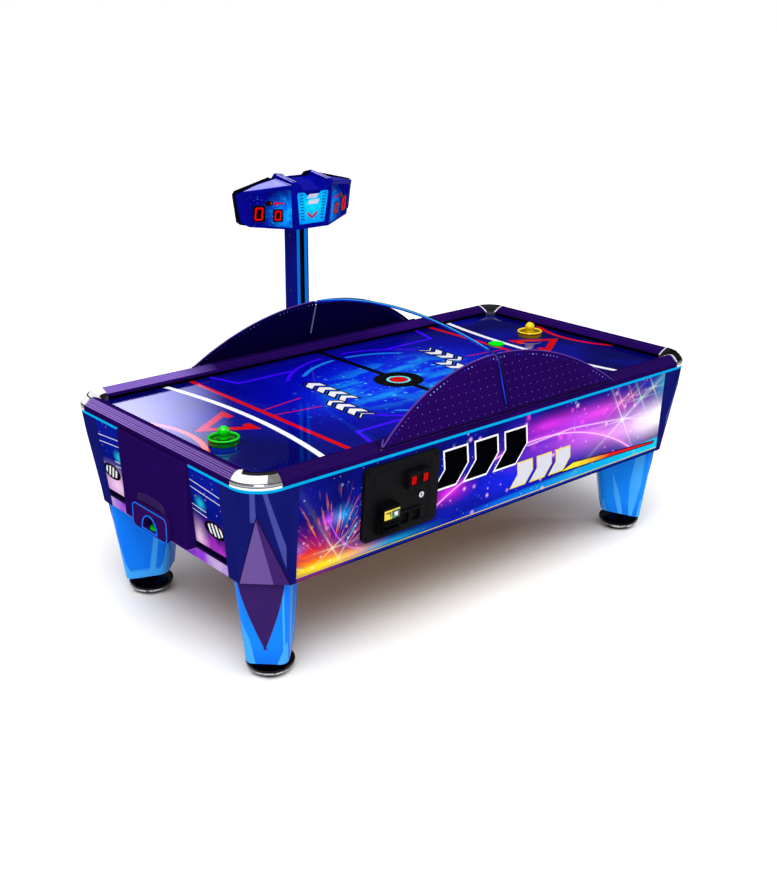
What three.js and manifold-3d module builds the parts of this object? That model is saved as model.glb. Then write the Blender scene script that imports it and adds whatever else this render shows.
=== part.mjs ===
// Coin-operated air hockey table with arched side guards, an overhead bar and a score head on a
// post. Millimetres; X runs along the table, Y across it (the score post is on +Y), Z is up.
import * as THREE from "three";
import { ConvexGeometry } from "three/addons/geometries/ConvexGeometry.js";
import { mergeVertices } from "three/addons/utils/BufferGeometryUtils.js";
import Module from "manifold-3d";

const wasm = await Module();
wasm.setup();

// Driving dimensions.
const LENGTH = 2500; // over the rails
const WIDTH = 1340; // over the rails
const CORNER_RADIUS = 130;
const PLAY_Z = 838; // the playing surface
const RAIL_WIDTH = 95;
const RAIL_SKIRT_Z = 829; // lower edge of the rails' outer face
const CREST_IN = 36; // the rail's highest line, inboard of its outer face
const CREST_Z = 878;
const RAIL_INNER_Z = 853; // where the crown meets the rail's inner face
const CABINET_TOP = 816;
const CABINET_BOTTOM = 429;
const END_TAPER = 48; // how far the end panels lean in over the cabinet's height
const SIDE_TAPER = 33;
const PANEL = 16; // cabinet panel thickness
const GAP = 0.3; // left between pieces that touch

// Goals, guards, head and loose pieces.
const GOAL_HALF = 190;
const COVER_HALF_TOP = 257;
const COVER_HALF_BOTTOM = 232;
const COVER_BOTTOM = 478;
const GUARD_HALF = 667;
const GUARD_RISE = 242; // height of the guard's arc in its own plane
const GUARD_LEAN = THREE.MathUtils.degToRad(16.7);
const GUARD_THICK = 6;
const GUARD_BASE_Z = 856;
const ARCH_END = 608; // |y| where the overhead bar leaves each guard
const ARCH_TOP = 1164;
const POST_FRONT = 702;
const POST_BACK = 792;
const HEAD_Z = 1437; // underside of the score head
const PUCK_RADIUS = 38.1; // three-inch puck
const PUCK_THICK = 6.4;

const CORNERS = [
  ["front_left", -1, -1],
  ["back_left", -1, 1],
  ["front_right", 1, -1],
  ["back_right", 1, 1],
];

const FINISHES = {
  purple: { color: 0x2a0a5e, roughness: 0.35, metalness: 0.1 },
  navy: { color: 0x141a6e, roughness: 0.3, metalness: 0.1 },
  blue: { color: 0x1280ff, roughness: 0.25, metalness: 0 },
  royal: { color: 0x1014a8, roughness: 0.25, metalness: 0 },
  cyan: { color: 0x10b4ff, roughness: 0.4, metalness: 0 },
  chrome: { color: 0xdddddd, roughness: 0.08, metalness: 1 },
  steel: { color: 0x9a9a9e, roughness: 0.35, metalness: 0.9 },
  black: { color: 0x111113, roughness: 0.45, metalness: 0.1 },
  field: { color: 0x0a1ab0, roughness: 0.15, metalness: 0 },
  art: { color: 0x1428b8, roughness: 0.3, metalness: 0 },
  board: { color: 0x8a6a48, roughness: 0.8, metalness: 0 },
  green: { color: 0x10e010, roughness: 0.3, metalness: 0 },
  yellow: { color: 0xe8e010, roughness: 0.3, metalness: 0 },
  red: { color: 0xd01010, roughness: 0.4, metalness: 0 },
};

const table = new THREE.Group();

function add(name, geometry, finish, parent = table) {
  const mesh = new THREE.Mesh(geometry, new THREE.MeshStandardMaterial(FINISHES[finish]));
  mesh.name = name;
  parent.add(mesh);
  return mesh;
}

// ---------- solids ----------

function toSolid(geometry) {
  const bare = geometry.clone();
  bare.deleteAttribute("normal");
  bare.deleteAttribute("uv");
  const merged = mergeVertices(bare, 1e-3);
  return new wasm.Manifold(
    new wasm.Mesh({
      numProp: 3,
      vertProperties: new Float32Array(merged.attributes.position.array),
      triVerts: new Uint32Array(merged.index.array),
    }),
  );
}

function toGeometry(solid) {
  const mesh = solid.getMesh();
  const geometry = new THREE.BufferGeometry();
  geometry.setAttribute("position", new THREE.BufferAttribute(mesh.vertProperties, 3));
  geometry.setIndex(new THREE.BufferAttribute(mesh.triVerts, 1));
  geometry.computeVertexNormals();
  return geometry;
}

const cut = (base, ...tools) =>
  toGeometry(tools.reduce((solid, tool) => solid.subtract(toSolid(tool)), toSolid(base)));

const join = (...pieces) => toGeometry(pieces.map(toSolid).reduce((sum, next) => sum.add(next)));

// Outward-facing triangles over one planar ring, in the ring's own turning direction.
function capTriangles(ring) {
  const normal = new THREE.Vector3();
  ring.forEach((point, i) => normal.add(point.clone().cross(ring[(i + 1) % ring.length])));
  normal.normalize();
  const across = new THREE.Vector3(1, 0, 0);
  if (Math.abs(normal.x) > 0.8) across.set(0, 1, 0);
  across.cross(normal).normalize();
  const along = normal.clone().cross(across);
  const flat = ring.map((point) => new THREE.Vector2(point.dot(across), point.dot(along)));
  return THREE.ShapeUtils.triangulateShape(flat, []).map(([a, b, c]) => {
    const turn = flat[b].clone().sub(flat[a]).cross(flat[c].clone().sub(flat[a]));
    return turn > 0 ? [a, b, c] : [a, c, b];
  });
}

// Closed skin through rings of equal point count, capped at both ends.
function loft(rings) {
  const count = rings[0].length;
  const points = rings.flat();
  const faces = [];
  for (let r = 0; r + 1 < rings.length; r++) {
    for (let i = 0; i < count; i++) {
      const a = r * count + i;
      const b = r * count + ((i + 1) % count);
      faces.push([a, b, b + count], [a, b + count, a + count]);
    }
  }
  const last = (rings.length - 1) * count;
  for (const [a, b, c] of capTriangles(rings[0])) faces.push([a, c, b]);
  for (const [a, b, c] of capTriangles(rings.at(-1))) faces.push([last + a, last + b, last + c]);
  const volume = faces.reduce(
    (sum, [a, b, c]) => sum + points[a].dot(points[b].clone().cross(points[c])),
    0,
  );
  const geometry = new THREE.BufferGeometry().setFromPoints(points);
  geometry.setIndex(faces.flatMap(([a, b, c]) => (volume > 0 ? [a, b, c] : [a, c, b])));
  geometry.computeVertexNormals();
  return geometry;
}

const ringAt = (outline, z) => outline.map(([x, y]) => new THREE.Vector3(x, y, z));

const rectangle = (x0, x1, y0, y1) => [
  [x0, y0],
  [x1, y0],
  [x1, y1],
  [x0, y1],
];

function block(x0, x1, y0, y1, z0, z1) {
  const box = new THREE.BoxGeometry(x1 - x0, y1 - y0, z1 - z0);
  return box.translate((x0 + x1) / 2, (y0 + y1) / 2, (z0 + z1) / 2);
}

// Solid of revolution about Z from [radius, height] points that start and end on the axis.
function turned(profile, segments = 32) {
  const points = profile.map(([r, z]) => new THREE.Vector2(r, z));
  return new THREE.LatheGeometry(points, segments).rotateX(Math.PI / 2);
}

function roundedShape(halfX, halfY, radius) {
  const shape = new THREE.Shape();
  shape.absarc(halfX - radius, halfY - radius, radius, 0, Math.PI / 2);
  shape.absarc(radius - halfX, halfY - radius, radius, Math.PI / 2, Math.PI);
  shape.absarc(radius - halfX, radius - halfY, radius, Math.PI, 1.5 * Math.PI);
  shape.absarc(halfX - radius, radius - halfY, radius, 1.5 * Math.PI, 2 * Math.PI);
  return shape;
}

const extruded = (shape, depth, curveSegments = 6) =>
  new THREE.ExtrudeGeometry(shape, { depth, bevelEnabled: false, curveSegments });

// Turns a shape drawn in (y, z) and extruded along its normal into one that runs along +X.
const ALONG_X = new THREE.Matrix4().makeBasis(
  new THREE.Vector3(0, 1, 0),
  new THREE.Vector3(0, 0, 1),
  new THREE.Vector3(1, 0, 0),
);

const alongX = (shape, x0, x1, segments = 8) =>
  extruded(shape, x1 - x0, segments).applyMatrix4(ALONG_X).translate(x0, 0, 0);

// ---------- stations along the table's edge ----------

// Each station is a point on the outer edge and the outward direction there. A section's
// points are [distance inboard, height].
const station = (x, y, nx, ny) => ({ x, y, nx, ny });

const sweep = (section, path) =>
  loft(
    path.map(({ x, y, nx, ny }) =>
      section.map(([inboard, z]) => new THREE.Vector3(x - nx * inboard, y - ny * inboard, z)),
    ),
  );

function cornerPath(sx, sy, steps = 12) {
  const path = [];
  for (let i = 0; i <= steps; i++) {
    const angle = (i / steps) * (Math.PI / 2);
    const nx = sx * Math.cos(angle);
    const ny = sy * Math.sin(angle);
    const x = sx * (LENGTH / 2 - CORNER_RADIUS) + nx * CORNER_RADIUS;
    const y = sy * (WIDTH / 2 - CORNER_RADIUS) + ny * CORNER_RADIUS;
    path.push(station(x, y, nx, ny));
  }
  return path;
}

const cabinetHeight = CABINET_TOP - CABINET_BOTTOM;
const endFace = (z) => LENGTH / 2 - 2 - ((CABINET_TOP - z) * END_TAPER) / cabinetHeight;
const sideFace = (z) => WIDTH / 2 - 2 - ((CABINET_TOP - z) * SIDE_TAPER) / cabinetHeight;

// ---------- playfield and rails ----------

function makePlayfield() {
  const edge = 14; // how far it stops short of the rails' outer face
  const halfX = LENGTH / 2 - edge;
  const halfY = WIDTH / 2 - edge;
  const notchX = LENGTH / 2 - RAIL_WIDTH + 5;
  const bottom = CABINET_TOP + GAP;
  const slab = extruded(roundedShape(halfX, halfY, CORNER_RADIUS - edge), PLAY_Z - bottom, 8);
  const wells = [-1, 1].map((side) => {
    const xs = [side * notchX, side * (halfX + 5)].sort((a, b) => a - b);
    return block(xs[0], xs[1], -GOAL_HALF, GOAL_HALF, bottom - 5, PLAY_Z + 5);
  });
  add("playfield", cut(slab.translate(0, 0, bottom), ...wells), "field");
}

function railSection() {
  const ribs = 9;
  const foot = [2, RAIL_SKIRT_Z + 18];
  const run = CREST_IN - foot[0];
  const rise = CREST_Z - foot[1];
  const slope = Math.hypot(run, rise);
  const ribHeight = 1.1;
  const section = [[0, RAIL_SKIRT_Z], [0, RAIL_SKIRT_Z + 15], foot];
  for (let i = 0; i < ribs; i++) {
    for (const [part, lift] of [[0.25, ribHeight], [0.75, ribHeight], [1, 0]]) {
      const t = (i + part) / ribs;
      section.push([
        foot[0] + run * t - (rise / slope) * lift,
        foot[1] + rise * t + (run / slope) * lift,
      ]);
    }
  }
  section.push([50, 877], [72, 867], [RAIL_WIDTH - 2, RAIL_INNER_Z + 1.5]);
  section.push([RAIL_WIDTH, RAIL_INNER_Z], [RAIL_WIDTH, PLAY_Z + GAP]);
  section.push([9, PLAY_Z + GAP], [9, RAIL_SKIRT_Z]);
  return section;
}

function makeRails() {
  const section = railSection();
  const endX = LENGTH / 2 - CORNER_RADIUS - GAP;
  const endY = WIDTH / 2 - CORNER_RADIUS - GAP;
  for (const [name, side] of [["rail_front", -1], ["rail_back", 1]]) {
    const path = [-endX, endX].map((x) => station(x, (side * WIDTH) / 2, 0, side));
    add(name, sweep(section, path), "purple");
  }
  const slotTop = RAIL_INNER_Z - 2;
  const slotSection = [
    [RAIL_WIDTH + 1, PLAY_Z - 2],
    [RAIL_WIDTH + 1, slotTop],
    [60, slotTop],
    [24, PLAY_Z + 2],
    [24, PLAY_Z - 2],
  ];
  for (const [name, side] of [["rail_left", -1], ["rail_right", 1]]) {
    const along = (ys) => ys.map((y) => station((side * LENGTH) / 2, y, side, 0));
    const goalSlot = sweep(slotSection, along([-GOAL_HALF, GOAL_HALF]));
    add(name, cut(sweep(section, along([-endY, endY])), goalSlot), "purple");
  }
}

function makeCornerCaps() {
  const proud = 1.8;
  const section = [
    [-proud, RAIL_SKIRT_Z + GAP],
    [-proud - 0.6, RAIL_SKIRT_Z + 8],
    [-proud, RAIL_SKIRT_Z + 17],
    [4, 856],
    [14, 868],
    [26, 877],
    [CREST_IN + 2, CREST_Z + proud + 1],
    [52, CREST_Z],
    [74, 869],
    [RAIL_WIDTH + 1, RAIL_INNER_Z + 2],
    [RAIL_WIDTH + 1, PLAY_Z + GAP],
    [9, PLAY_Z + GAP],
    [9, RAIL_SKIRT_Z + GAP],
  ];
  for (const [name, sx, sy] of CORNERS) {
    add(`corner_cap_${name}`, sweep(section, cornerPath(sx, sy)), "chrome");
  }
}

// Each strip runs from one goal cover round two corners to the other goal cover.
function makeLightStrips() {
  const section = [
    [1, CABINET_TOP + GAP + 2],
    [3, CABINET_TOP + GAP],
    [12, CABINET_TOP + GAP],
    [12, RAIL_SKIRT_Z - GAP],
    [3, RAIL_SKIRT_Z - GAP],
    [1, RAIL_SKIRT_Z - GAP - 2],
  ];
  for (const [name, sy] of [["light_strip_front", -1], ["light_strip_back", 1]]) {
    const start = sy * (COVER_HALF_TOP + 3);
    const path = [
      station(-LENGTH / 2, start, -1, 0),
      ...cornerPath(-1, sy),
      ...cornerPath(1, sy).reverse(),
      station(LENGTH / 2, start, 1, 0),
    ];
    add(name, sweep(section, path), "cyan");
  }
}

// ---------- cabinet ----------

const CASTING_X = 1043; // inner edge of the corner castings along the sides
const castingEndY = (z) => 436 + ((z - CABINET_BOTTOM) * 20) / cabinetHeight;

// Coin door opening in the front panel.
const COIN_X = -565;
const COIN_Z = 651;
const COIN_DOOR_HALF_X = 145;
const COIN_DOOR_HALF_Z = 130;

function makeCabinet() {
  const inner = CASTING_X - GAP;
  const sideRing = (z, side) => {
    const outer = sideFace(z) - 2;
    return ringAt(rectangle(-inner, inner, side * (outer - PANEL), side * outer), z);
  };
  const endRing = (z, side) => {
    const outer = endFace(z) - 2;
    const half = castingEndY(z) - GAP;
    return ringAt(rectangle(side * (outer - PANEL), side * outer, -half, half), z);
  };
  const sidePanel = (side) => loft([CABINET_BOTTOM, CABINET_TOP].map((z) => sideRing(z, side)));
  const endPanel = (side) => loft([CABINET_BOTTOM, CABINET_TOP].map((z) => endRing(z, side)));
  const doorHole = block(
    COIN_X - COIN_DOOR_HALF_X - 8,
    COIN_X + COIN_DOOR_HALF_X + 8,
    -WIDTH / 2,
    -WIDTH / 2 + 90,
    COIN_Z - COIN_DOOR_HALF_Z - 8,
    COIN_Z + COIN_DOOR_HALF_Z + 8,
  );
  add("cabinet_front", cut(sidePanel(-1), doorHole), "art");
  add("cabinet_back", sidePanel(1), "art");
  for (const [name, side] of [["cabinet_left", -1], ["cabinet_right", 1]]) {
    const xs = [side * 1150, side * 1260].sort((a, b) => a - b);
    const returnHole = block(xs[0], xs[1], -RETURN_CLEAR, RETURN_CLEAR, RETURN_Z - 10, RETURN_TOP);
    add(name, cut(endPanel(side), returnHole), "art");
  }
  const halfX = endFace(CABINET_BOTTOM) - PANEL - 3;
  const halfY = sideFace(CABINET_BOTTOM) - PANEL - 3;
  const chamfer = 116; // clears the inner face of the corner castings
  const outline = [];
  for (const [sx, sy] of [[1, 1], [-1, 1], [-1, -1], [1, -1]]) {
    const pair = [
      [sx * halfX, sy * (halfY - chamfer)],
      [sx * (halfX - chamfer), sy * halfY],
    ];
    outline.push(...(sx * sy > 0 ? pair : pair.reverse()));
  }
  const floorBottom = CABINET_BOTTOM + GAP;
  const floorRings = [floorBottom, floorBottom + PANEL].map((z) => ringAt(outline, z));
  add("cabinet_floor", loft(floorRings), "board");
}

// Where the flat front of a corner casting lies: its distance in from the square corner along
// the diagonal, and the flat's half width, both growing from the apex down to the bottom.
const APEX_Z = 727;
const flatDepth = (z) => 54 + Math.max(0, ((APEX_Z - z) * 42) / (APEX_Z - CABINET_BOTTOM));
const flatHalf = (z) => 1 + Math.max(0, ((APEX_Z - z) * 94) / (APEX_Z - CABINET_BOTTOM));

// Plan outline of a corner at one height, from the long side round to the end.
function cornerOutline(z, inset, steps = 4) {
  const x = endFace(z) - inset;
  const y = sideFace(z) - inset;
  const depth = flatDepth(z) + (inset ? inset * (1 - Math.SQRT2) : 0);
  const half = flatHalf(z) * (inset ? 0.94 : 1);
  const tangent = Math.max(depth + 0.5, 92 + ((CABINET_TOP - z) * 5) / cabinetHeight);
  const place = (down, across) => [
    x - (down - across) / Math.SQRT2,
    y - (down + across) / Math.SQRT2,
  ];
  const curve = [];
  for (let i = 0; i <= steps; i++) {
    const t = i / steps;
    const [a, b, c] = [(1 - t) ** 2, 2 * t * (1 - t), t * t];
    curve.push([a * depth + b * depth + c * tangent, a * half + b * depth + c * tangent]);
  }
  const rightHalf = curve.map(([down, across]) => place(down, -across)).reverse();
  const leftHalf = curve.map(([down, across]) => place(down, across));
  return [[CASTING_X, y], ...rightHalf, ...leftHalf, [x, castingEndY(z)]];
}

function makeCastings() {
  const heights = [CABINET_BOTTOM, 500, 580, 660, APEX_Z, CABINET_TOP];
  for (const [name, sx, sy] of CORNERS) {
    const rings = heights.map((z) => {
      const outline = [...cornerOutline(z, 0), ...cornerOutline(z, 10).reverse()];
      return ringAt(outline.map(([x, y]) => [sx * x, sy * y]), z);
    });
    add(`corner_casting_${name}`, loft(rings), "navy");
  }
}

// Tapered plate on the flat of each casting.
function makeCornerTrims() {
  const thick = 3;
  const margin = 2.5;
  for (const [name, sx, sy] of CORNERS) {
    const rings = [CABINET_BOTTOM + 1.5, APEX_Z - 14].map((z) => {
      const half = flatHalf(z) - margin;
      const corners = [[-1, 0], [1, 0], [1, 1], [-1, 1]].map(([side, proud]) => {
        const down = flatDepth(z) - GAP - proud * thick;
        const across = side * (half - proud * 1.2);
        return [
          sx * (endFace(z) - (down - across) / Math.SQRT2),
          sy * (sideFace(z) - (down + across) / Math.SQRT2),
        ];
      });
      return ringAt(corners, z);
    });
    add(`corner_trim_${name}`, loft(rings), "purple");
  }
}

// ---------- legs and feet ----------

const LEG_TOP = { x: 1036, y: 446, long: 139, wide: 105, radius: 36 };
const LEG_FOOT = { x: 1030, y: 444, long: 92, wide: 83, radius: 32 };
const LEG_BOTTOM = 72; // lower edge at the leg's outer face
const LEG_CUT = 0.19; // the lower edge rises this much per millimetre towards the middle
const FOOT_RADIUS = 95;
const STEM_TOP = 130;

// Rounded rectangle with its long axis on the table's outward diagonal.
function legRing(sx, sy, size, wall, height) {
  const long = size.long - wall;
  const wide = size.wide - wall;
  const radius = Math.max(size.radius - wall, 8);
  const steps = 4;
  const ring = [];
  for (const [so, sa, from] of [[1, 1, 0], [-1, 1, 1], [-1, -1, 2], [1, -1, 3]]) {
    for (let i = 0; i <= steps; i++) {
      const angle = ((from + i / steps) * Math.PI) / 2;
      const out = so * (long - radius) + radius * Math.cos(angle);
      const across = sa * (wide - radius) + radius * Math.sin(angle);
      const x = sx * (size.x + (out + across) / Math.SQRT2);
      const y = sy * (size.y + (out - across) / Math.SQRT2);
      ring.push(new THREE.Vector3(x, y, height(out)));
    }
  }
  return ring;
}

function legSize(z) {
  const t = (CABINET_BOTTOM - z) / (CABINET_BOTTOM - LEG_BOTTOM);
  const size = {};
  for (const key of Object.keys(LEG_TOP)) size[key] = LEG_TOP[key] + (LEG_FOOT[key] - LEG_TOP[key]) * t;
  return size;
}

function makeLegs() {
  const wall = 6;
  const top = CABINET_BOTTOM - GAP;
  const web = 14; // cross wall that takes the foot's stem
  const level = (z) => () => z;
  const slanted = (out) => LEG_BOTTOM + (LEG_FOOT.long - out) * LEG_CUT;
  for (const [name, sx, sy] of CORNERS) {
    const ring = (z, inset, height) => legRing(sx, sy, legSize(z), inset, height);
    const skin = loft([
      ring(STEM_TOP + web, wall, level(STEM_TOP + web)),
      ring(top, wall, level(top)),
      ring(top, 0, level(top)),
      ring(LEG_BOTTOM, 0, slanted),
      ring(LEG_BOTTOM, wall, slanted),
      ring(STEM_TOP, wall, level(STEM_TOP)),
    ]);
    add(`leg_${name}`, skin, "blue");
  }
}

function makeFeet() {
  const profile = [
    [0, 0],
    [52, 0],
    [57, 3],
    [80, 18],
    [92, 33],
    [FOOT_RADIUS, 44],
    [93, 50],
    [84, 53],
    [34, 57],
    [18, 62],
    [12, 66],
    [12, STEM_TOP - GAP],
    [0, STEM_TOP - GAP],
  ];
  for (const [name, sx, sy] of CORNERS) {
    const foot = turned(profile, 28).translate(sx * LEG_FOOT.x, sy * LEG_FOOT.y, 0);
    add(`levelling_foot_${name}`, foot, "chrome");
  }
}

// ---------- goal covers, puck returns and chutes ----------

const RETURN_Z = 484; // floor of the puck return
const RETURN_HALF = 52;
const RETURN_CLEAR = 64;
const RETURN_TOP = 550;
const BEZEL_X = 1272; // outer face of the return bezel
const coverFront = (z) => 1250 + ((z - COVER_BOTTOM) * 12) / (RAIL_SKIRT_Z - COVER_BOTTOM);

function makeGoalCovers() {
  const top = RAIL_SKIRT_Z - 0.5;
  const radius = 12;
  const halfAt = (z) =>
    COVER_HALF_BOTTOM +
    ((z - COVER_BOTTOM) * (COVER_HALF_TOP - COVER_HALF_BOTTOM)) / (top - COVER_BOTTOM);
  const coverRing = (z, inset, backX) => {
    const front = coverFront(z) - inset;
    const half = halfAt(z) - inset;
    const outline = [[backX, -half]];
    for (const side of [-1, 1]) {
      for (let i = 0; i <= 3; i++) {
        const angle = side < 0 ? -Math.PI / 2 + (i * Math.PI) / 6 : (i * Math.PI) / 6;
        const x = front - radius + radius * Math.cos(angle);
        outline.push([x, side * (half - radius) + radius * Math.sin(angle)]);
      }
    }
    outline.push([backX, half]);
    return ringAt(outline, z);
  };
  const backAt = (z) => endFace(Math.min(z, CABINET_TOP)) - 2 + GAP;
  const heights = [COVER_BOTTOM, CABINET_TOP, top];
  const outer = loft(heights.map((z) => coverRing(z, 0, backAt(z))));
  const hollow = loft([COVER_BOTTOM + 5, top - 5].map((z) => coverRing(z, 5, 1190)));
  const returnNotch = block(1180, 1290, -RETURN_CLEAR, RETURN_CLEAR, 460, RETURN_TOP);
  for (const [name, turn] of [["goal_cover_left", Math.PI], ["goal_cover_right", 0]]) {
    const cover = add(name, cut(outer, hollow, returnNotch), "purple");
    cover.rotation.z = turn;
  }
}

function archShape(half, bottom, straight) {
  const shape = new THREE.Shape();
  shape.moveTo(-half, bottom);
  shape.lineTo(half, bottom);
  shape.lineTo(half, bottom + straight);
  shape.absarc(0, bottom + straight, half, 0, Math.PI);
  return shape;
}

function makeReturnBezels() {
  const frameTop = 571;
  const frameBottom = 469;
  const frameShape = roundedShape(129, (frameTop - frameBottom) / 2, 25);
  const face = alongX(frameShape, 1254.5, BEZEL_X).translate(0, 0, (frameTop + frameBottom) / 2);
  const sleeve = alongX(archShape(RETURN_HALF + 5, RETURN_Z - 5, 9), 1216, 1256);
  const opening = alongX(archShape(RETURN_HALF, RETURN_Z, 6), 1200, 1290);
  const bezel = cut(join(face, sleeve), opening);
  for (const [name, turn] of [["puck_return_left", Math.PI], ["puck_return_right", 0]]) {
    add(name, bezel.clone(), "purple").rotation.z = turn;
  }
}

// Hopper that takes a puck from the goal's well down to the return; the end panel closes it.
function makeChutes() {
  const top = CABINET_TOP - 2;
  const bottom = RETURN_Z - 8;
  const topX = endFace(top) - PANEL - 3;
  const bottomX = endFace(bottom) - PANEL - 3;
  const wall = 4;
  const hopper = loft([
    ringAt(rectangle(bottomX - 92, bottomX, -RETURN_CLEAR - 6, RETURN_CLEAR + 6), bottom),
    ringAt(rectangle(topX - 78, topX, -GOAL_HALF - 6, GOAL_HALF + 6), top),
  ]);
  const slope = (topX - bottomX) / (top - bottom);
  const hollowTop = top + 10;
  const flare = (GOAL_HALF - RETURN_CLEAR) / (top - bottom);
  const halfTop = GOAL_HALF + 6 - wall + flare * 10;
  const halfBottom = RETURN_CLEAR + 6 - wall;
  const hollow = loft([
    ringAt(rectangle(bottomX - 92 + wall, bottomX + 40, -halfBottom, halfBottom), bottom + 6),
    ringAt(
      rectangle(topX - 78 + wall + slope * 10, topX + 40, -halfTop, halfTop),
      hollowTop,
    ),
  ]);
  const chute = cut(hopper, hollow);
  for (const [name, turn] of [["puck_chute_left", Math.PI], ["puck_chute_right", 0]]) {
    add(name, chute.clone(), "black").rotation.z = turn;
  }
}

// ---------- guards, overhead bar, post and score head ----------

const GUARD_FOOT_IN = 6.4; // the guard's inner face, inboard of the rail's outer face, at its foot
const guardRadius = (GUARD_HALF ** 2 + GUARD_RISE ** 2) / (2 * GUARD_RISE);

function makeGuards() {
  const shape = new THREE.Shape();
  const reach = Math.asin(GUARD_HALF / guardRadius);
  const centre = GUARD_RISE - guardRadius;
  shape.absarc(0, centre, guardRadius, Math.PI / 2 - reach, Math.PI / 2 + reach);
  const plate = extruded(shape, GUARD_THICK, 28);
  const notch = block(-9, 9, GUARD_RISE - 27, GUARD_RISE + 5, -5, GUARD_THICK + 5);
  const upright = cut(plate, notch).rotateX(Math.PI / 2 - GUARD_LEAN);
  upright.translate(0, GUARD_FOOT_IN - WIDTH / 2, GUARD_BASE_Z);
  const flangeSection = [
    [-1.5, 852.5],
    [1, 849.8],
    [CREST_IN - 3, 879.2],
    [CREST_IN - 5, 882.4],
  ];
  for (const [name, side] of [["side_guard_front", -1], ["side_guard_back", 1]]) {
    const standing = upright.clone().rotateZ(side < 0 ? 0 : Math.PI);
    const path = [-GUARD_HALF, GUARD_HALF].map((x) => station(x, (side * WIDTH) / 2, 0, side));
    add(name, join(standing, sweep(flangeSection, path)), "purple");
  }
}

// One bent bar: up the outside of a guard, over the playfield in a low arc and down again.
function makeArchBar() {
  const barRadius = 6.5;
  const stand = GUARD_THICK + barRadius + 0.8; // from the guard's inner face to the bar's centre
  const guardPoint = (height, side) => {
    const y = WIDTH / 2 - GUARD_FOOT_IN - height * Math.sin(GUARD_LEAN) + stand * Math.cos(GUARD_LEAN);
    const z = GUARD_BASE_Z + height * Math.cos(GUARD_LEAN) + stand * Math.sin(GUARD_LEAN);
    return new THREE.Vector3(0, side * y, z);
  };
  const foot = 34;
  const shoulder = GUARD_RISE - 14;
  const strut = (sy) =>
    [foot, (foot + shoulder) / 2, shoulder - 12].map((height) => guardPoint(height, sy));
  const endZ = guardPoint(shoulder, 1).z;
  const rise = ARCH_TOP - endZ;
  const archRadius = (ARCH_END ** 2 + rise ** 2) / (2 * rise);
  const over = [];
  for (let i = -8; i <= 8; i++) {
    const y = (i / 8) * (ARCH_END - 22);
    const z = ARCH_TOP - archRadius + Math.sqrt(archRadius ** 2 - y ** 2);
    over.push(new THREE.Vector3(0, y, z));
  }
  const points = [...strut(-1), ...over, ...strut(1).reverse()];
  const curve = new THREE.CatmullRomCurve3(points, false, "centripetal");
  const section = new THREE.Shape();
  section.absarc(0, 0, barRadius, 0, 2 * Math.PI);
  const bar = new THREE.ExtrudeGeometry(section, {
    extrudePath: curve,
    steps: 60,
    bevelEnabled: false,
    curveSegments: 5,
  });
  add("overhead_bar", bar, "black");
}

function makePost() {
  const halfX = 40;
  const middle = (POST_FRONT + POST_BACK) / 2;
  const halfY = (POST_BACK - POST_FRONT) / 2;
  const bottom = 470;
  const column = extruded(roundedShape(halfX, halfY, 6), HEAD_Z - GAP - bottom, 3);
  column.translate(0, middle, bottom);
  const grooves = [-22, 22].map((x) =>
    block(x - 9, x + 9, POST_FRONT - 5, POST_FRONT + 3, 900, HEAD_Z + 5),
  );
  const arms = [500, 700].map((z) => {
    const rings = [z, z + 60].map((level) => {
      const start = sideFace(level) - 2 + GAP;
      return ringAt(rectangle(-38, 38, start, POST_FRONT + 10), level);
    });
    return loft(rings);
  });
  const bore = extruded(roundedShape(halfX - 6, halfY - 6, 3), HEAD_Z, 2);
  bore.translate(0, middle, bottom - 100);
  add("score_post", cut(join(column, ...arms), bore, ...grooves), "navy");
}

// Corners of the score head's front faces: the middle face and one wing (mirrored in X).
const HEAD_RIDGE_LOW = [97, 621, HEAD_Z];
const HEAD_RIDGE_HIGH = [111, 604, 1650];
const HEAD_TIP_LOW = [288, 722, 1459];
const HEAD_TIP_HIGH = [323, 722, 1624];

// Point on a face given by its four corners, with u across and v up, each from 0 to 1.
function onFace(face, u, v) {
  const [a, b, c, d] = face.map((corner) => new THREE.Vector3(...corner));
  return a.lerp(b, u).lerp(d.lerp(c, u), v);
}

function facePocket(face, corners, depth) {
  const ring = corners.map(([u, v]) => onFace(face, u, v));
  const normal = ring[1].clone().sub(ring[0]).cross(ring[2].clone().sub(ring[0])).normalize();
  const shifted = (offset) => ring.map((point) => point.clone().addScaledVector(normal, offset));
  return loft([shifted(6), shifted(-depth)]);
}

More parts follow.
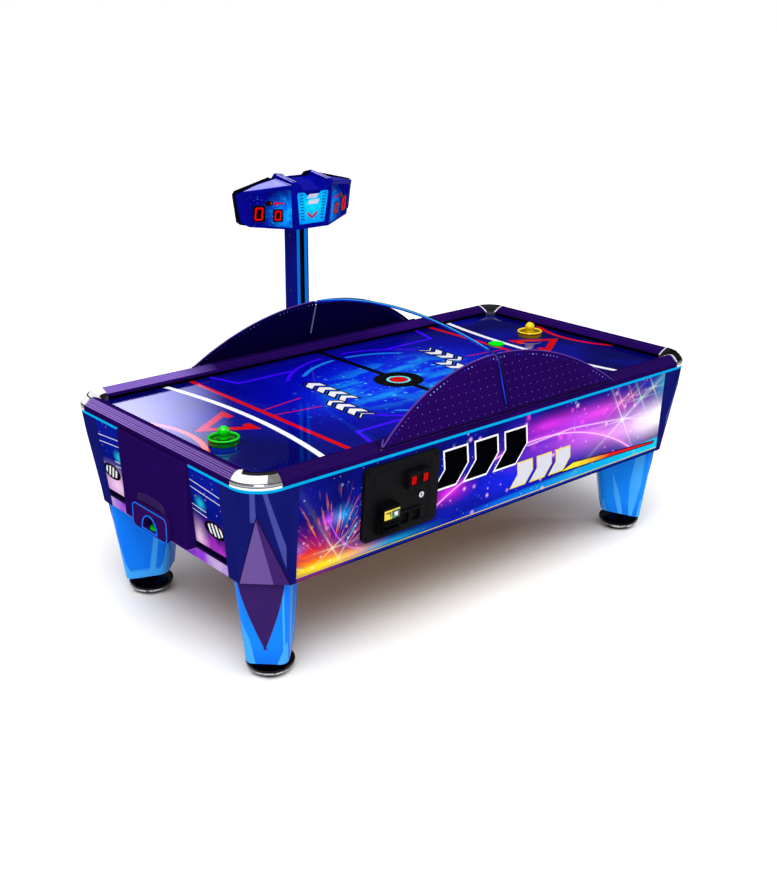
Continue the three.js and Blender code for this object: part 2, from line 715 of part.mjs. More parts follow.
function makeScoreHead() {
  const mirrored = (points) => points.flatMap(([x, y, z]) => [[x, y, z], [-x, y, z]]);
  const hullPoints = mirrored([
    HEAD_RIDGE_LOW,
    HEAD_RIDGE_HIGH,
    HEAD_TIP_LOW,
    HEAD_TIP_HIGH,
    [338, 750, 1612],
    [313, 750, 1479],
    [332, 766, 1600],
    [304, 766, 1490],
    [112, 778, 1668],
    [112, 790, 1656],
    [110, 790, HEAD_Z],
  ]).map((point) => new THREE.Vector3(...point));
  const shell = new ConvexGeometry(hullPoints);
  const channel = loft(
    [[590, 1614, 56], [800, 1675, 70]].map(([y, z, half]) =>
      [[-half, z], [half, z], [half + 40, z + 70], [-half - 40, z + 70]].map(
        ([x, height]) => new THREE.Vector3(x, y, height),
      ),
    ),
  );
  const boss = (sx) =>
    loft(
      [[606, 1640, 1660], [766, 1655, 1688]].map(([y, low, high]) =>
        [[84, low], [118, low], [114, high - 3], [109, high], [93, high], [88, high - 3]].map(
          ([x, z]) => new THREE.Vector3(sx * x, y, z),
        ),
      ),
    );
  const flip = ([x, y, z]) => [-x, y, z];
  const middle = [flip(HEAD_RIDGE_LOW), HEAD_RIDGE_LOW, HEAD_RIDGE_HIGH, flip(HEAD_RIDGE_HIGH)];
  const wing = [HEAD_RIDGE_LOW, HEAD_TIP_LOW, HEAD_TIP_HIGH, HEAD_RIDGE_HIGH];
  const otherWing = [flip(HEAD_TIP_LOW), flip(HEAD_RIDGE_LOW), flip(HEAD_RIDGE_HIGH), flip(HEAD_TIP_HIGH)];
  const middlePocket = [[0.13, 0.1], [0.87, 0.1], [0.93, 0.82], [0.07, 0.82]];
  const wingPocket = [[0.06, 0.04], [0.93, 0.06], [0.93, 0.9], [0.06, 0.92]];
  const otherPocket = [[0.07, 0.06], [0.94, 0.04], [0.94, 0.92], [0.07, 0.9]];
  const depth = 4;
  const pockets = [
    facePocket(middle, middlePocket, depth),
    facePocket(wing, wingPocket, depth),
    facePocket(otherWing, otherPocket, depth),
  ];
  const body = join(new THREE.BufferGeometry().copy(shell), boss(1), boss(-1));
  add("score_head", cut(body, channel, ...pockets), "royal");
}

// ---------- coin door ----------

const DOOR_FACE = -16; // outer face of the coin door, outward from the cabinet panel
const DOOR_THICK = 12;
const HINGE_X = -COIN_DOOR_HALF_X;
const BUTTONS = [["left", 40], ["right", 100]]; // in from the door's centre, along X
const BUTTON_Z = 60;
const LOCK = { x: 99, z: -21 };
const RETURNS = [["left", 17], ["right", 75]];
const RETURN_CUP_Z = -97;

const coinPanel = new THREE.Group();
coinPanel.position.set(COIN_X, -(sideFace(COIN_Z) - 2), COIN_Z);
coinPanel.rotation.x = Math.atan2(SIDE_TAPER, cabinetHeight);
table.add(coinPanel);

// Plate shapes are drawn in (x, z) and extruded towards -Y.
const panelPlate = (shape, depth, outerY, segments = 6) =>
  extruded(shape, depth, segments).rotateX(Math.PI / 2).translate(0, outerY + depth, 0);

function makeCoinDoor() {
  const frame = panelPlate(roundedShape(187, 151, 24), 16, DOOR_FACE - 1);
  const window = block(
    -COIN_DOOR_HALF_X - 1, COIN_DOOR_HALF_X + 1, -40, 10,
    -COIN_DOOR_HALF_Z - 1, COIN_DOOR_HALF_Z + 1,
  );
  add("coin_frame", cut(frame, window), "black", coinPanel);

  const leaf = block(-COIN_DOOR_HALF_X, COIN_DOOR_HALF_X, DOOR_FACE, DOOR_FACE + DOOR_THICK,
    -COIN_DOOR_HALF_Z, COIN_DOOR_HALF_Z);
  const bezels = BUTTONS.map(([, x]) =>
    block(x - 28, x + 28, DOOR_FACE - 24, DOOR_FACE + 1, BUTTON_Z - 32, BUTTON_Z + 32),
  );
  const surrounds = RETURNS.map(([, x]) =>
    block(x - 27, x + 27, DOOR_FACE - 7, DOOR_FACE + 1, RETURN_CUP_Z - 29, RETURN_CUP_Z + 31),
  );
  const buttonHoles = BUTTONS.map(([, x]) =>
    block(x - 15, x + 15, DOOR_FACE - 40, 10, BUTTON_Z - 19, BUTTON_Z + 19),
  );
  const cupHoles = RETURNS.map(([, x]) =>
    block(x - 20, x + 20, DOOR_FACE - 20, 10, RETURN_CUP_Z - 23, RETURN_CUP_Z + 23),
  );
  const coinSlots = BUTTONS.map(([, x]) =>
    block(x - 23.5, x - 20, DOOR_FACE - 40, 10, BUTTON_Z - 16, BUTTON_Z + 14),
  );
  const lockHole = turned([[0, -40], [11.5, -40], [11.5, 40], [0, 40]], 24);
  lockHole.rotateX(Math.PI / 2).translate(LOCK.x, 0, LOCK.z);
  const slotHole = block(-119, -33, DOOR_FACE - 20, 10, -122, -10);
  const holes = [...buttonHoles, ...coinSlots, ...cupHoles, lockHole, slotHole];
  add("coin_door", cut(join(leaf, ...bezels, ...surrounds), ...holes), "black", coinPanel);

  for (const [name, x] of BUTTONS) {
    const button = block(x - 14.5, x + 14.5, DOOR_FACE - 18, -2, BUTTON_Z - 18.5, BUTTON_Z + 18.5);
    add(`reject_button_${name}`, button, "red", coinPanel);
  }
  for (const [name, x] of RETURNS) {
    const flap = block(
      x - 19.5, x + 19.5, DOOR_FACE + 4, DOOR_FACE + 6, RETURN_CUP_Z - 21, RETURN_CUP_Z + 22,
    );
    add(`coin_return_flap_${name}`, flap, "black", coinPanel);
  }
  const barrel = turned([[0, 0], [14, 0], [14, 3], [11, 4], [11, 22], [5, 22], [5, 28], [0, 28]], 24);
  barrel.rotateX(-Math.PI / 2).translate(LOCK.x, DOOR_FACE - 4, LOCK.z);
  const cam = block(LOCK.x - 6, LOCK.x + 6, 3, 6, LOCK.z - 6, LOCK.z + 51);
  add("door_lock", join(barrel, cam), "steel", coinPanel);
}

// Note acceptor: a deep mouth outside the door and a stacker behind it.
function makeNoteAcceptor() {
  const mouth = block(-118, -34, DOOR_FACE - 36, DOOR_FACE + DOOR_THICK, -121, -11);
  const stacker = block(-116, -36, DOOR_FACE + DOOR_THICK - 1, 84, -118, -14);
  const slot = block(-110, -42, DOOR_FACE - 50, 60, -96, -88);
  const sideFlange = block(-128, -117, DOOR_FACE - 20, DOOR_FACE - 1, -121, -50);
  add("note_acceptor", cut(join(mouth, stacker, sideFlange), slot), "black", coinPanel);
}

// ---------- inside the cabinet ----------

const BLOWER = { x: 300, radius: 150, bottom: 640, top: 752 };

function makeBlower() {
  const halfX = 1070;
  const halfY = 590;
  const floorZ = 758;
  const wall = 8;
  const tray = block(-halfX, halfX, -halfY, halfY, floorZ, CABINET_TOP);
  const inside = block(-halfX + wall, halfX - wall, -halfY + wall, halfY - wall, floorZ + wall, CABINET_TOP + 20);
  const airHole = turned([[0, -30], [60, -30], [60, 30], [0, 30]], 24).translate(BLOWER.x, 0, floorZ);
  add("plenum_box", cut(tray, inside, airHole), "board");

  const { radius, bottom } = BLOWER;
  const lid = floorZ - GAP;
  const shell = turned([
    [0, bottom], [radius, bottom], [radius, lid], [0, lid],
  ], 36);
  const cavity = turned([
    [0, bottom + 4], [radius - 4, bottom + 4], [radius - 4, lid - 4], [0, lid - 4],
  ], 36);
  const inlet = turned([[0, bottom - 5], [70, bottom - 5], [70, bottom + 8], [0, bottom + 8]], 24);
  const outlet = turned([[0, lid - 8], [60, lid - 8], [60, lid + 8], [0, lid + 8]], 24);
  const housing = cut(shell, cavity, inlet, outlet);
  add("blower_housing", housing.translate(BLOWER.x, 0, 0), "steel");

  const backplate = turned([[0, 0], [112, 0], [112, 4], [0, 4]], 30);
  const hub = turned([[0, 0], [20, 0], [20, 30], [0, 30]], 20);
  const ringOuter = turned([[0, 56], [114, 56], [114, 60], [0, 60]], 30);
  const ringHole = turned([[0, 50], [88, 50], [88, 70], [0, 70]], 30);
  const blades = [];
  const bladeCount = 16;
  for (let i = 0; i < bladeCount; i++) {
    const blade = block(90, 110, -1.5, 1.5, 2, 58);
    blades.push(blade.rotateZ((i / bladeCount) * 2 * Math.PI));
  }
  const wheel = join(backplate, hub, cut(ringOuter, ringHole), ...blades);
  add("blower_wheel", wheel.translate(BLOWER.x, 0, bottom + 26), "steel");
}

function makeInsideBoxes() {
  const floorTop = CABINET_BOTTOM + GAP + PANEL + GAP;
  const openBox = (x0, x1, y0, y1, height, wall) =>
    cut(
      block(x0, x1, y0, y1, floorTop, floorTop + height),
      block(x0 + wall, x1 - wall, y0 + wall, y1 - wall, floorTop + wall, floorTop + height + 5),
    );
  add("cash_box", openBox(-650, -460, -530, -370, 110, 3), "steel");
  const shell = openBox(-200, 60, -420, -260, 90, 3);
  const gland = block(-100, -60, -270, -250, floorTop + 30, floorTop + 60);
  add("control_box", cut(shell, gland), "steel");
}

// ---------- loose pieces ----------

function malletProfile() {
  const ball = 24;
  const ballZ = 46;
  const profile = [
    [0, 0], [58.5, 0], [60, 1.5], [60, 16], [57.5, 17.5], [57.5, 19.5], [61, 21], [62.2, 24],
    [61, 27], [57.5, 28.5], [54, 27], [50, 14], [44, 9], [27, 9], [23, 13], [22, ballZ - 10],
  ];
  for (let i = 1; i <= 6; i++) {
    const angle = -0.42 + (i / 6) * (Math.PI / 2 + 0.42);
    profile.push([i < 6 ? ball * Math.cos(angle) : 0, ballZ + ball * Math.sin(angle)]);
  }
  return profile;
}

function makeLoosePieces() {
  const onTable = PLAY_Z + GAP;
  const mallet = turned(malletProfile(), 32);
  add("mallet_green", mallet.clone().translate(-1041, -184, onTable), "green");
  add("mallet_yellow", mallet.clone().translate(985, 129, onTable), "yellow");
  const puck = turned([
    [0, 0], [PUCK_RADIUS - 1, 0], [PUCK_RADIUS, 1], [PUCK_RADIUS, PUCK_THICK - 1],
    [PUCK_RADIUS - 1, PUCK_THICK], [0, PUCK_THICK],
  ], 32);
  add("puck", puck.clone().translate(742, 124, onTable), "green");
  add("puck_spare", puck.clone().translate(-1226, 0, RETURN_Z + GAP), "green");
}

makePlayfield();
makeRails();
makeCornerCaps();
makeLightStrips();
makeCabinet();
makeCastings();
makeCornerTrims();
makeLegs();
makeFeet();
makeGoalCovers();
makeReturnBezels();
makeChutes();
makeGuards();
makeArchBar();
makePost();
makeScoreHead();
makeCoinDoor();
makeNoteAcceptor();
makeBlower();
makeInsideBoxes();
makeLoosePieces();

// The part's origin is the middle of its footprint, on the floor.
table.updateMatrixWorld(true);
const bounds = new THREE.Box3().setFromObject(table, true);
table.position.y = -(bounds.min.y + bounds.max.y) / 2;

export default table;
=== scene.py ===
"""Air hockey table: materials, lights and the pieces that the CAD model leaves plain."""

import functools
import math
import operator

import bpy
from mathutils import Matrix, Vector


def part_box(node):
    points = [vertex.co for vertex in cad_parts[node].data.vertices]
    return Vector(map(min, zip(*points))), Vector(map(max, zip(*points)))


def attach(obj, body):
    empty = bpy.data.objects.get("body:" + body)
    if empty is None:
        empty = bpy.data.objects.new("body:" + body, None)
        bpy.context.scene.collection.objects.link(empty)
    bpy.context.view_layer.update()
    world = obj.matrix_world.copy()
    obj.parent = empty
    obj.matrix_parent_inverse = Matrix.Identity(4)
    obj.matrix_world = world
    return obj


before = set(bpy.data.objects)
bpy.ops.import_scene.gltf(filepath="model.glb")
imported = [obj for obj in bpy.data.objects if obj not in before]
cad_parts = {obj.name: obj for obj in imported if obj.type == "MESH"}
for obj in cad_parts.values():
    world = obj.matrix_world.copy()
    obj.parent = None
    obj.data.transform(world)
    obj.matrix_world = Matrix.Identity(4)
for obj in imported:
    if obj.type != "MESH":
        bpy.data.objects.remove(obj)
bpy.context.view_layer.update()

MM = 0.001
CORNERS = {
    "front_left": (-1, -1),
    "back_left": (-1, 1),
    "front_right": (1, -1),
    "back_right": (1, 1),
}
ENDS = {"left": -1, "right": 1}

# The table's own middle line, which all sizes below are measured from.
field_low, field_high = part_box("playfield")
MID_Y = (field_low[1] + field_high[1]) / 2

# Sizes repeated from the CAD model, in millimetres. What names a corner or a leg serves all four.
PLAY_Z = 838
APEX_Z = 727
CABINET_TOP = 816
CABINET_BOTTOM = 429
CABINET_CORNER = (1248, 668)  # x and y at the top
TAPER = tuple(inward / (CABINET_TOP - CABINET_BOTTOM) for inward in (48, 33))
RAIL_CORNER = (1250, 670)
LEG_TOP = (1036, 446, 139, 105, 36)  # x, y, half length, half width, corner radius
LEG_FOOT = (1030, 444, 92, 83, 32)
LEG_MIDDLE = (1033, 445)
LEG_BOTTOM = 72
POST_FRONT = 702
HEAD_RIDGE_LOW = (97, 621, 1437)
HEAD_RIDGE_HIGH = (111, 604, 1650)
HEAD_TIP_LOW = (288, 722, 1459)
HEAD_TIP_HIGH = (323, 722, 1624)
LOCK_AT = (-466, 628.4)  # x and z
GUARD_HALF = 667
GUARD_RISE = 242
GUARD_LEAN = math.radians(16.7)
GUARD_BASE_Z = 856
GUARD_FOOT_Y = 663.6


def at(x, y, z):
    """A point given in millimetres from the table's middle line."""
    return Vector((x * MM, y * MM + MID_Y, z * MM))


def rgb(red, green, blue):
    """Linear colour from 0 to 255 display values."""
    linear = []
    for value in (red, green, blue):
        share = value / 255
        linear.append(share / 12.92 if share <= 0.04045 else ((share + 0.055) / 1.055) ** 2.4)
    return (*linear, 1.0)


BLACK = rgb(9, 9, 12)
WHITE = rgb(248, 248, 252)


# ---------- painting with nodes ----------


def operation(kind):
    """A method of Num that makes one math node."""
    return lambda self, other: self.paint.math(kind, self, other)


class Num:
    """A number that varies over a surface. & and | are the lesser and the greater."""

    def __init__(self, paint, socket):
        self.paint = paint
        self.socket = socket

    __add__ = __radd__ = operation("ADD")
    __sub__ = operation("SUBTRACT")
    __mul__ = __rmul__ = operation("MULTIPLY")
    __and__ = operation("MINIMUM")
    __or__ = operation("MAXIMUM")
    power = operation("POWER")

    def __rsub__(self, other):
        return self.paint.math("SUBTRACT", other, self)

    def __abs__(self):
        return self.paint.math("ABSOLUTE", self)

    def scaled(self, factor, offset=0, clamp=False):
        """self * factor + offset in one node."""
        return self.paint.math("MULTIPLY_ADD", self, factor, offset, clamp=clamp)

    def ramp(self, low, high):
        """0 at low to 1 at high, and flat beyond them."""
        return self.scaled(1 / (high - low), -low / (high - low), clamp=True)

    def under(self, limit, soft=1.0):
        return self.ramp(limit + soft / 2, limit - soft / 2)

    def over(self, limit, soft=1.0):
        return self.ramp(limit - soft / 2, limit + soft / 2)

    def between(self, low, high, soft=1.0):
        return self.over(low, soft) & self.under(high, soft)

    def fold(self, half):
        """Runs up and down between 0 and half over and over."""
        return self.paint.math("PINGPONG", self, half)


def least(numbers):
    return functools.reduce(operator.and_, numbers)


def greatest(numbers):
    return functools.reduce(operator.or_, numbers)


class Paint:
    """One material. x, y and z are in millimetres: from the table's middle line, or a local piece's own."""

    def __init__(self, name, local=False):
        self.material = bpy.data.materials.new(name)
        self.material.use_nodes = True
        self.tree = self.material.node_tree
        self.tree.nodes.clear()
        output = self.node("ShaderNodeOutputMaterial")
        self.shader = self.node("ShaderNodeBsdfPrincipled")
        self.link(self.shader.outputs[0], output.inputs[0])
        self.point = self.node("ShaderNodeTexCoord").outputs["Object"]
        split = self.node("ShaderNodeSeparateXYZ")
        self.link(self.point, split.inputs[0])
        shifts = (0, 0 if local else -MID_Y / MM, 0)
        self.x, self.y, self.z = (
            Num(self, output).scaled(1 / MM, shift) for output, shift in zip(split.outputs, shifts)
        )

    def node(self, kind):
        return self.tree.nodes.new(kind)

    def link(self, source, target):
        self.tree.links.new(source, target)

    def feed(self, socket, value):
        """Links a number or a socket, or sets a constant."""
        if isinstance(value, Num):
            self.link(value.socket, socket)
        elif isinstance(value, bpy.types.NodeSocket):
            self.link(value, socket)
        else:
            socket.default_value = value

    def math(self, operation, *values, clamp=False):
        node = self.node("ShaderNodeMath")
        node.operation = operation
        node.use_clamp = clamp
        for socket, value in zip(node.inputs, values):
            self.feed(socket, value)
        return Num(self, node.outputs[0])

    def mix(self, base, colour, amount, blend="MIX"):
        node = self.node("ShaderNodeMix")
        node.data_type = "RGBA"
        node.blend_type = blend
        self.feed(node.inputs[0], amount)
        self.feed(node.inputs[6], base)
        self.feed(node.inputs[7], colour)
        return node.outputs[2]

    def start(self, low, high, amount):
        """The first colours, from low to high by the amount. lay and light paint over them."""
        self.colour = self.mix(low, high, amount)

    def lay(self, colour, amount, blend="MIX"):
        self.colour = self.mix(self.colour, colour, amount, blend)

    def light(self, colour, amount):
        self.lay(colour, amount, "SCREEN")

    def turned(self, coordinate):
        """-1 where the coordinate is positive and 1 where it is negative."""
        return self.math("SIGN", coordinate) * -1

    def vector(self, a, b):
        node = self.node("ShaderNodeCombineXYZ")
        for socket, value in zip(node.inputs, (a, b)):
            self.feed(socket, value)
        return node.outputs[0]

    def noise(self, size, detail, stretch=(1, 1, 1), vector=None):
        """Soft noise from 0 to 1 with features about this many millimetres across."""
        mapping = self.node("ShaderNodeMapping")
        self.link(vector or self.point, mapping.inputs[0])
        unit = 1.0 if vector else 1 / MM
        mapping.inputs["Scale"].default_value = [s * unit / size for s in stretch]
        node = self.node("ShaderNodeTexNoise")
        self.link(mapping.outputs[0], node.inputs["Vector"])
        node.inputs["Scale"].default_value = 1.0
        node.inputs["Detail"].default_value = detail
        return Num(self, node.outputs[0])

    def sparks(self, a, b, size, radius, share):
        """Round dots scattered over the plane (a, b), one in each cell of that size."""
        node = self.node("ShaderNodeTexVoronoi")
        node.voronoi_dimensions = "2D"
        self.link(self.vector(a * (1 / size), b * (1 / size)), node.inputs["Vector"])
        node.inputs["Scale"].default_value = 1.0
        split = self.node("ShaderNodeSeparateColor")
        self.link(node.outputs["Color"], split.inputs[0])
        shown = Num(self, split.outputs[0]).over(1 - share, 0.2)
        scale = Num(self, split.outputs[1]).scaled(0.8 * radius / size, 0.25 * radius / size)
        distance = Num(self, node.outputs["Distance"])
        falloff = self.math("DIVIDE", distance, scale)
        return shown & self.math("SUBTRACT", 1.0, falloff, clamp=True)

    def distance(self, a, b, centre=(0, 0), stretch=(1, 1)):
        """Distance in the plane (a, b) from a centre, with each axis divided by its stretch."""
        da = a.scaled(1 / stretch[0], -centre[0] / stretch[0])
        db = b.scaled(1 / stretch[1], -centre[1] / stretch[1])
        return self.radius(da, db)

    def radius(self, da, db):
        """Length of the vector (da, db)."""
        return self.math("SQRT", self.math("MULTIPLY_ADD", da, da, db * db))

    def to_segment(self, a, b, start, end):
        """Distance in the plane (a, b) from a straight line between two points."""
        run = (end[0] - start[0], end[1] - start[1])
        length2 = run[0] ** 2 + run[1] ** 2
        offset = -(start[0] * run[0] + start[1] * run[1]) / length2
        along = a.scaled(run[0] / length2, offset)
        along = self.math("MULTIPLY_ADD", b, run[1] / length2, along, clamp=True)
        da = self.math("MULTIPLY_ADD", along, -run[0], a - start[0])
        db = self.math("MULTIPLY_ADD", along, -run[1], b - start[1])
        return self.radius(da, db)

    def to_path(self, a, b, points):
        """Distance in the plane (a, b) from a line through points."""
        return least(self.to_segment(a, b, *ends) for ends in zip(points, points[1:]))

    def depth_in(self, a, b, corners):
        """How far a point lies inside a convex outline whose corners run anticlockwise."""
        sides = []
        for (x0, y0), (x1, y1) in zip(corners, corners[1:] + corners[:1]):
            length = math.hypot(x1 - x0, y1 - y0)
            na, nb = (y0 - y1) / length, (x1 - x0) / length
            sides.append(self.math("MULTIPLY_ADD", a, na, b.scaled(nb, -(x0 * na + y0 * nb))))
        return least(sides)

    def flare(self, a, b, centre, size):
        """1 at the centre, falling away smoothly."""
        reach = self.distance(a, b, centre, size)
        return self.math("DIVIDE", 1.0, self.math("MULTIPLY_ADD", reach, reach, 1.0))

    def stars(self, a, b, colour, size, radius, share, strength=1.0, falling=1.5):
        """Scattered dots that glow on the paint."""
        self.light(colour, self.sparks(a, b, size, radius, share).power(falling) * strength)

    def bump(self, height, depth):
        """Surface relief of this many millimetres."""
        node = self.node("ShaderNodeBump")
        node.inputs["Strength"].default_value = 1.0
        node.inputs["Distance"].default_value = depth * MM
        self.feed(node.inputs["Height"], height)
        self.link(node.outputs[0], self.shader.inputs["Normal"])

    def finish(self, roughness, specular=0.0, **others):
        """Feeds the shader. What else it takes is named as its socket is, with _ for a space."""
        self.feed(self.shader.inputs["Base Color"], self.colour)
        self.feed(self.shader.inputs["Roughness"], roughness)
        self.feed(self.shader.inputs["Specular IOR Level"], specular)
        for name, value in others.items():
            self.feed(self.shader.inputs[name.replace("_", " ")], value)
        return self.material

    def lacquer(self, drift, roughness, ripple=3, depth=0.015, change=0.06, **others):
        """Finishes with a fine ripple in the surface and a polish that changes with the drift."""
        self.bump(self.noise(ripple, 2), depth)
        return self.finish(drift.scaled(change, roughness), **others)


def darker(colour, share):
    return tuple(channel * share for channel in colour[:3]) + (1,)


def gloss(name, colour, roughness, coat=0.0, peel=0.02, size=70, specular=0.0):
    """Moulded or lacquered plastic: slight drifts of colour and polish, and a fine surface ripple."""
    paint = Paint(name)
    drift = paint.noise(size, 2)
    paint.start(darker(colour, 0.82), colour, drift)
    scuffs = paint.noise(9, 4, (1, 1, 0.3)).ramp(0.55, 0.8)
    paint.bump(paint.noise(3.5, 2), peel)
    rough = paint.math("MULTIPLY_ADD", scuffs, 0.07, drift.scaled(0.06, roughness - 0.03))
    return paint.finish(rough, specular, Coat_Weight=coat, Coat_Roughness=0.05)


def metal(name, colour, roughness, size=30, stretch=(1, 1, 1)):
    paint = Paint(name)
    grain = paint.noise(size, 4, stretch)
    paint.start(darker(colour, 0.8), colour, grain)
    paint.bump(paint.noise(size * 0.2, 3, stretch), 0.01)
    return paint.finish(grain.scaled(0.08, roughness - 0.02), 0.5, Metallic=1.0)


def lamp(name, colour, strength, unlit=BLACK):
    """Lit plastic with a slightly uneven glow."""
    paint = Paint(name)
    paint.colour = unlit
    glow = paint.mix(darker(colour, 0.75), colour, paint.noise(25, 2))
    paint.bump(paint.noise(4, 2), 0.01)
    return paint.finish(0.35, Emission_Color=glow, Emission_Strength=strength)


# ---------- making pieces ----------


def piece(name, points, faces, material, body="table", smooth=False, matrix=None, bevel=0.0):
    """A mesh from points in millimetres, in its own frame if a matrix is given, else from the middle line."""
    mesh = bpy.data.meshes.new(name)
    vertices = [at(*point) if matrix is None else Vector(point) * MM for point in points]
    mesh.from_pydata(vertices, [], faces)
    mesh.validate()
    mesh.update()
    mesh.polygons.foreach_set("use_smooth", [smooth] * len(mesh.polygons))
    mesh.materials.append(material)
    made = bpy.data.objects.new(name, mesh)
    bpy.context.collection.objects.link(made)
    if matrix is not None:
        made.matrix_world = matrix
    if bevel:
        rounding = made.modifiers.new("edges", "BEVEL")
        rounding.width = bevel * MM
        rounding.segments = 2
        rounding.limit_method = "ANGLE"
        rounding.angle_limit = math.radians(35)
    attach(made, body)


def prisms(name, outlines, low, high, material, matrix, **others):
    """One mesh of flat outlines (x, y), each raised from low to high along the frame's z."""
    points, faces = [], []
    for outline in outlines:
        first, count = len(points), len(outline)
        points += [(x, y, level) for level in (low, high) for x, y in outline]
        bottom = range(first, first + count)
        faces += [tuple(reversed(bottom)), tuple(i + count for i in bottom)]
        for i in bottom:
            j = i + 1 if i + 1 < first + count else first
            faces.append((i, j, j + count, i + count))
    piece(name, points, faces, material, matrix=matrix, **others)


def prism(name, outline, *others, **more):
    prisms(name, [outline], *others, **more)


def ring_piece(name, outer, inner, low, high, material, matrix, body="table"):
    """A flat band between two outlines of equal point count."""
    count = len(outer)
    points = [(x, y, level) for level in (low, high) for line in (outer, inner) for x, y in line]
    faces = []
    for i in range(count):
        j = (i + 1) % count
        faces.append((i, count + i, count + j, j))
        faces.append((2 * count + i, 2 * count + j, 3 * count + j, 3 * count + i))
        faces.append((i, j, 2 * count + j, 2 * count + i))
        faces.append((count + i, 3 * count + i, 3 * count + j, count + j))
    piece(name, points, faces, material, body, matrix=matrix)


def circle(radius, count, centre=(0, 0)):
    turns = [k / count * 2 * math.pi for k in range(count)]
    return [(centre[0] + radius * math.cos(turn), centre[1] + radius * math.sin(turn)) for turn in turns]


def rounded(half_x, half_y, radius, steps=4, centre=(0, 0)):
    """Outline of a rectangle with round corners."""
    outline = []
    for quarter, (sx, sy) in enumerate(((1, 1), (-1, 1), (-1, -1), (1, -1))):
        x, y = centre[0] + sx * (half_x - radius), centre[1] + sy * (half_y - radius)
        for step in range(steps + 1):
            angle = (quarter + step / steps) * math.pi / 2
            outline.append((x + radius * math.cos(angle), y + radius * math.sin(angle)))
    return outline


def local_frame(origin, across, up):
    """Matrix of a piece that lies on a face: its x runs across, its y up and its z out of the face."""
    across = Vector(across).normalized()
    out = across.cross(Vector(up)).normalized()
    up = out.cross(across)
    matrix = Matrix((across, up, out)).transposed().to_4x4()
    matrix.translation = origin
    return matrix


def rod(name, path, radius, material, sides=8):
    """A round bar through points in millimetres from the middle line."""
    points, faces = [], []
    for i, point in enumerate(path):
        here = Vector(point)
        ahead = Vector(path[min(i + 1, len(path) - 1)])
        behind = Vector(path[max(i - 1, 0)])
        along = (ahead - behind).normalized()
        reference = Vector((0, 0, 1) if abs(along.z) < 0.9 else (1, 0, 0))
        first = along.cross(reference).normalized()
        second = along.cross(first)
        for side in range(sides):
            angle = side / sides * 2 * math.pi
            points.append(here + radius * (first * math.cos(angle) + second * math.sin(angle)))
    last = (len(path) - 1) * sides
    for ring in range(0, last, sides):
        for side in range(sides):
            a, b = ring + side, ring + (side + 1) % sides
            faces.append((a, b, b + sides, a + sides))
    faces += [tuple(range(sides)), tuple(reversed(range(last, last + sides)))]
    piece(name, points, faces, material, smooth=True)


# ---------- camera, floor and lights ----------


def make_camera():
    pitch_down, turn_right = 0.2316, 0.7087
    data = bpy.data.cameras.new("camera")
    data.sensor_width = 36
    data.lens = 51.03
    data.shift_y = -0.1645
    data.clip_end = 100
    camera = bpy.data.objects.new("camera", data)
    camera.location = at(-3467.84, -3976.46, 2474.27)
    camera.rotation_euler = (math.pi / 2 - pitch_down, 0, -turn_right)
    bpy.context.collection.objects.link(camera)
    bpy.context.scene.camera = camera


def area_light(name, place, target, width, height, power, colour=(1, 1, 1), spread=180):
    data = bpy.data.lights.new(name, "AREA")
    data.shape = "RECTANGLE"
    data.size = width
    data.size_y = height
    data.energy = power
    data.color = colour
    data.spread = math.radians(spread)
    light = bpy.data.objects.new(name, data)
    light.location = place
    light.rotation_euler = (Vector(target) - Vector(place)).to_track_quat("-Z", "Y").to_euler()
    bpy.context.collection.objects.link(light)


def make_floor():
    half = 120
    mesh = bpy.data.meshes.new("floor")
    corners = [(-half, -half, 0), (half, -half, 0), (half, half, 0), (-half, half, 0)]
    mesh.from_pydata(corners, [], [(0, 1, 2, 3)])
    floor = bpy.data.objects.new("floor", mesh)
    bpy.context.collection.objects.link(floor)
    paint = Paint("floor", local=True)
    paint.colour = rgb(250, 250, 250)
    mesh.materials.append(paint.finish(0.9, 0.1))


def make_world():
    """A white backdrop, and a sky that is dim near the horizon and bright overhead."""
    world = bpy.data.worlds.new("studio")
    bpy.context.scene.world = world
    world.use_nodes = True
    tree = world.node_tree
    tree.nodes.clear()
    kinds = "OutputWorld MixShader Background Background TexCoord SeparateXYZ MapRange LightPath"
    output, mix, backdrop, sky, direction, split, height, path = (
        tree.nodes.new("ShaderNode" + kind) for kind in kinds.split()
    )
    height.interpolation_type = "SMOOTHSTEP"
    for socket, value in zip(height.inputs[1:5], (0.3, 1.0, 0.02, 1.15)):
        socket.default_value = value
    for source, target in (
        (direction.outputs["Generated"], split.inputs[0]),
        (split.outputs[2], height.inputs[0]),
        (height.outputs[0], sky.inputs[1]),
        (path.outputs["Is Camera Ray"], mix.inputs[0]),
        (sky.outputs[0], mix.inputs[1]),
        (backdrop.outputs[0], mix.inputs[2]),
        (mix.outputs[0], output.inputs[0]),
    ):
        tree.links.new(source, target)
    for shade in (backdrop, sky):
        shade.inputs[0].default_value = (1, 1, 1, 1)


def make_lights():
    data = bpy.data.lights.new("overall", "SUN")
    data.energy = 2.3
    data.angle = math.radians(50)
    overall = bpy.data.objects.new("overall", data)
    overall.rotation_euler = (math.radians(24), math.radians(-20), 0)
    bpy.context.collection.objects.link(overall)
    middle = (0, 0, 0.7)
    lilac = (0.55, 0.55, 1.0)
    area_light("key", (-3.2, -3.0, 4.4), middle, 1.6, 1.6, 45)
    area_light("sheen", at(868, 4276, 2510), at(-1324, 105, 838), 1.9, 1.9, 0.27, lilac, spread=10)
    area_light("fill", (4.5, -3.0, 2.6), middle, 0.6, 2.6, 25)


# ---------- what covers each CAD node ----------


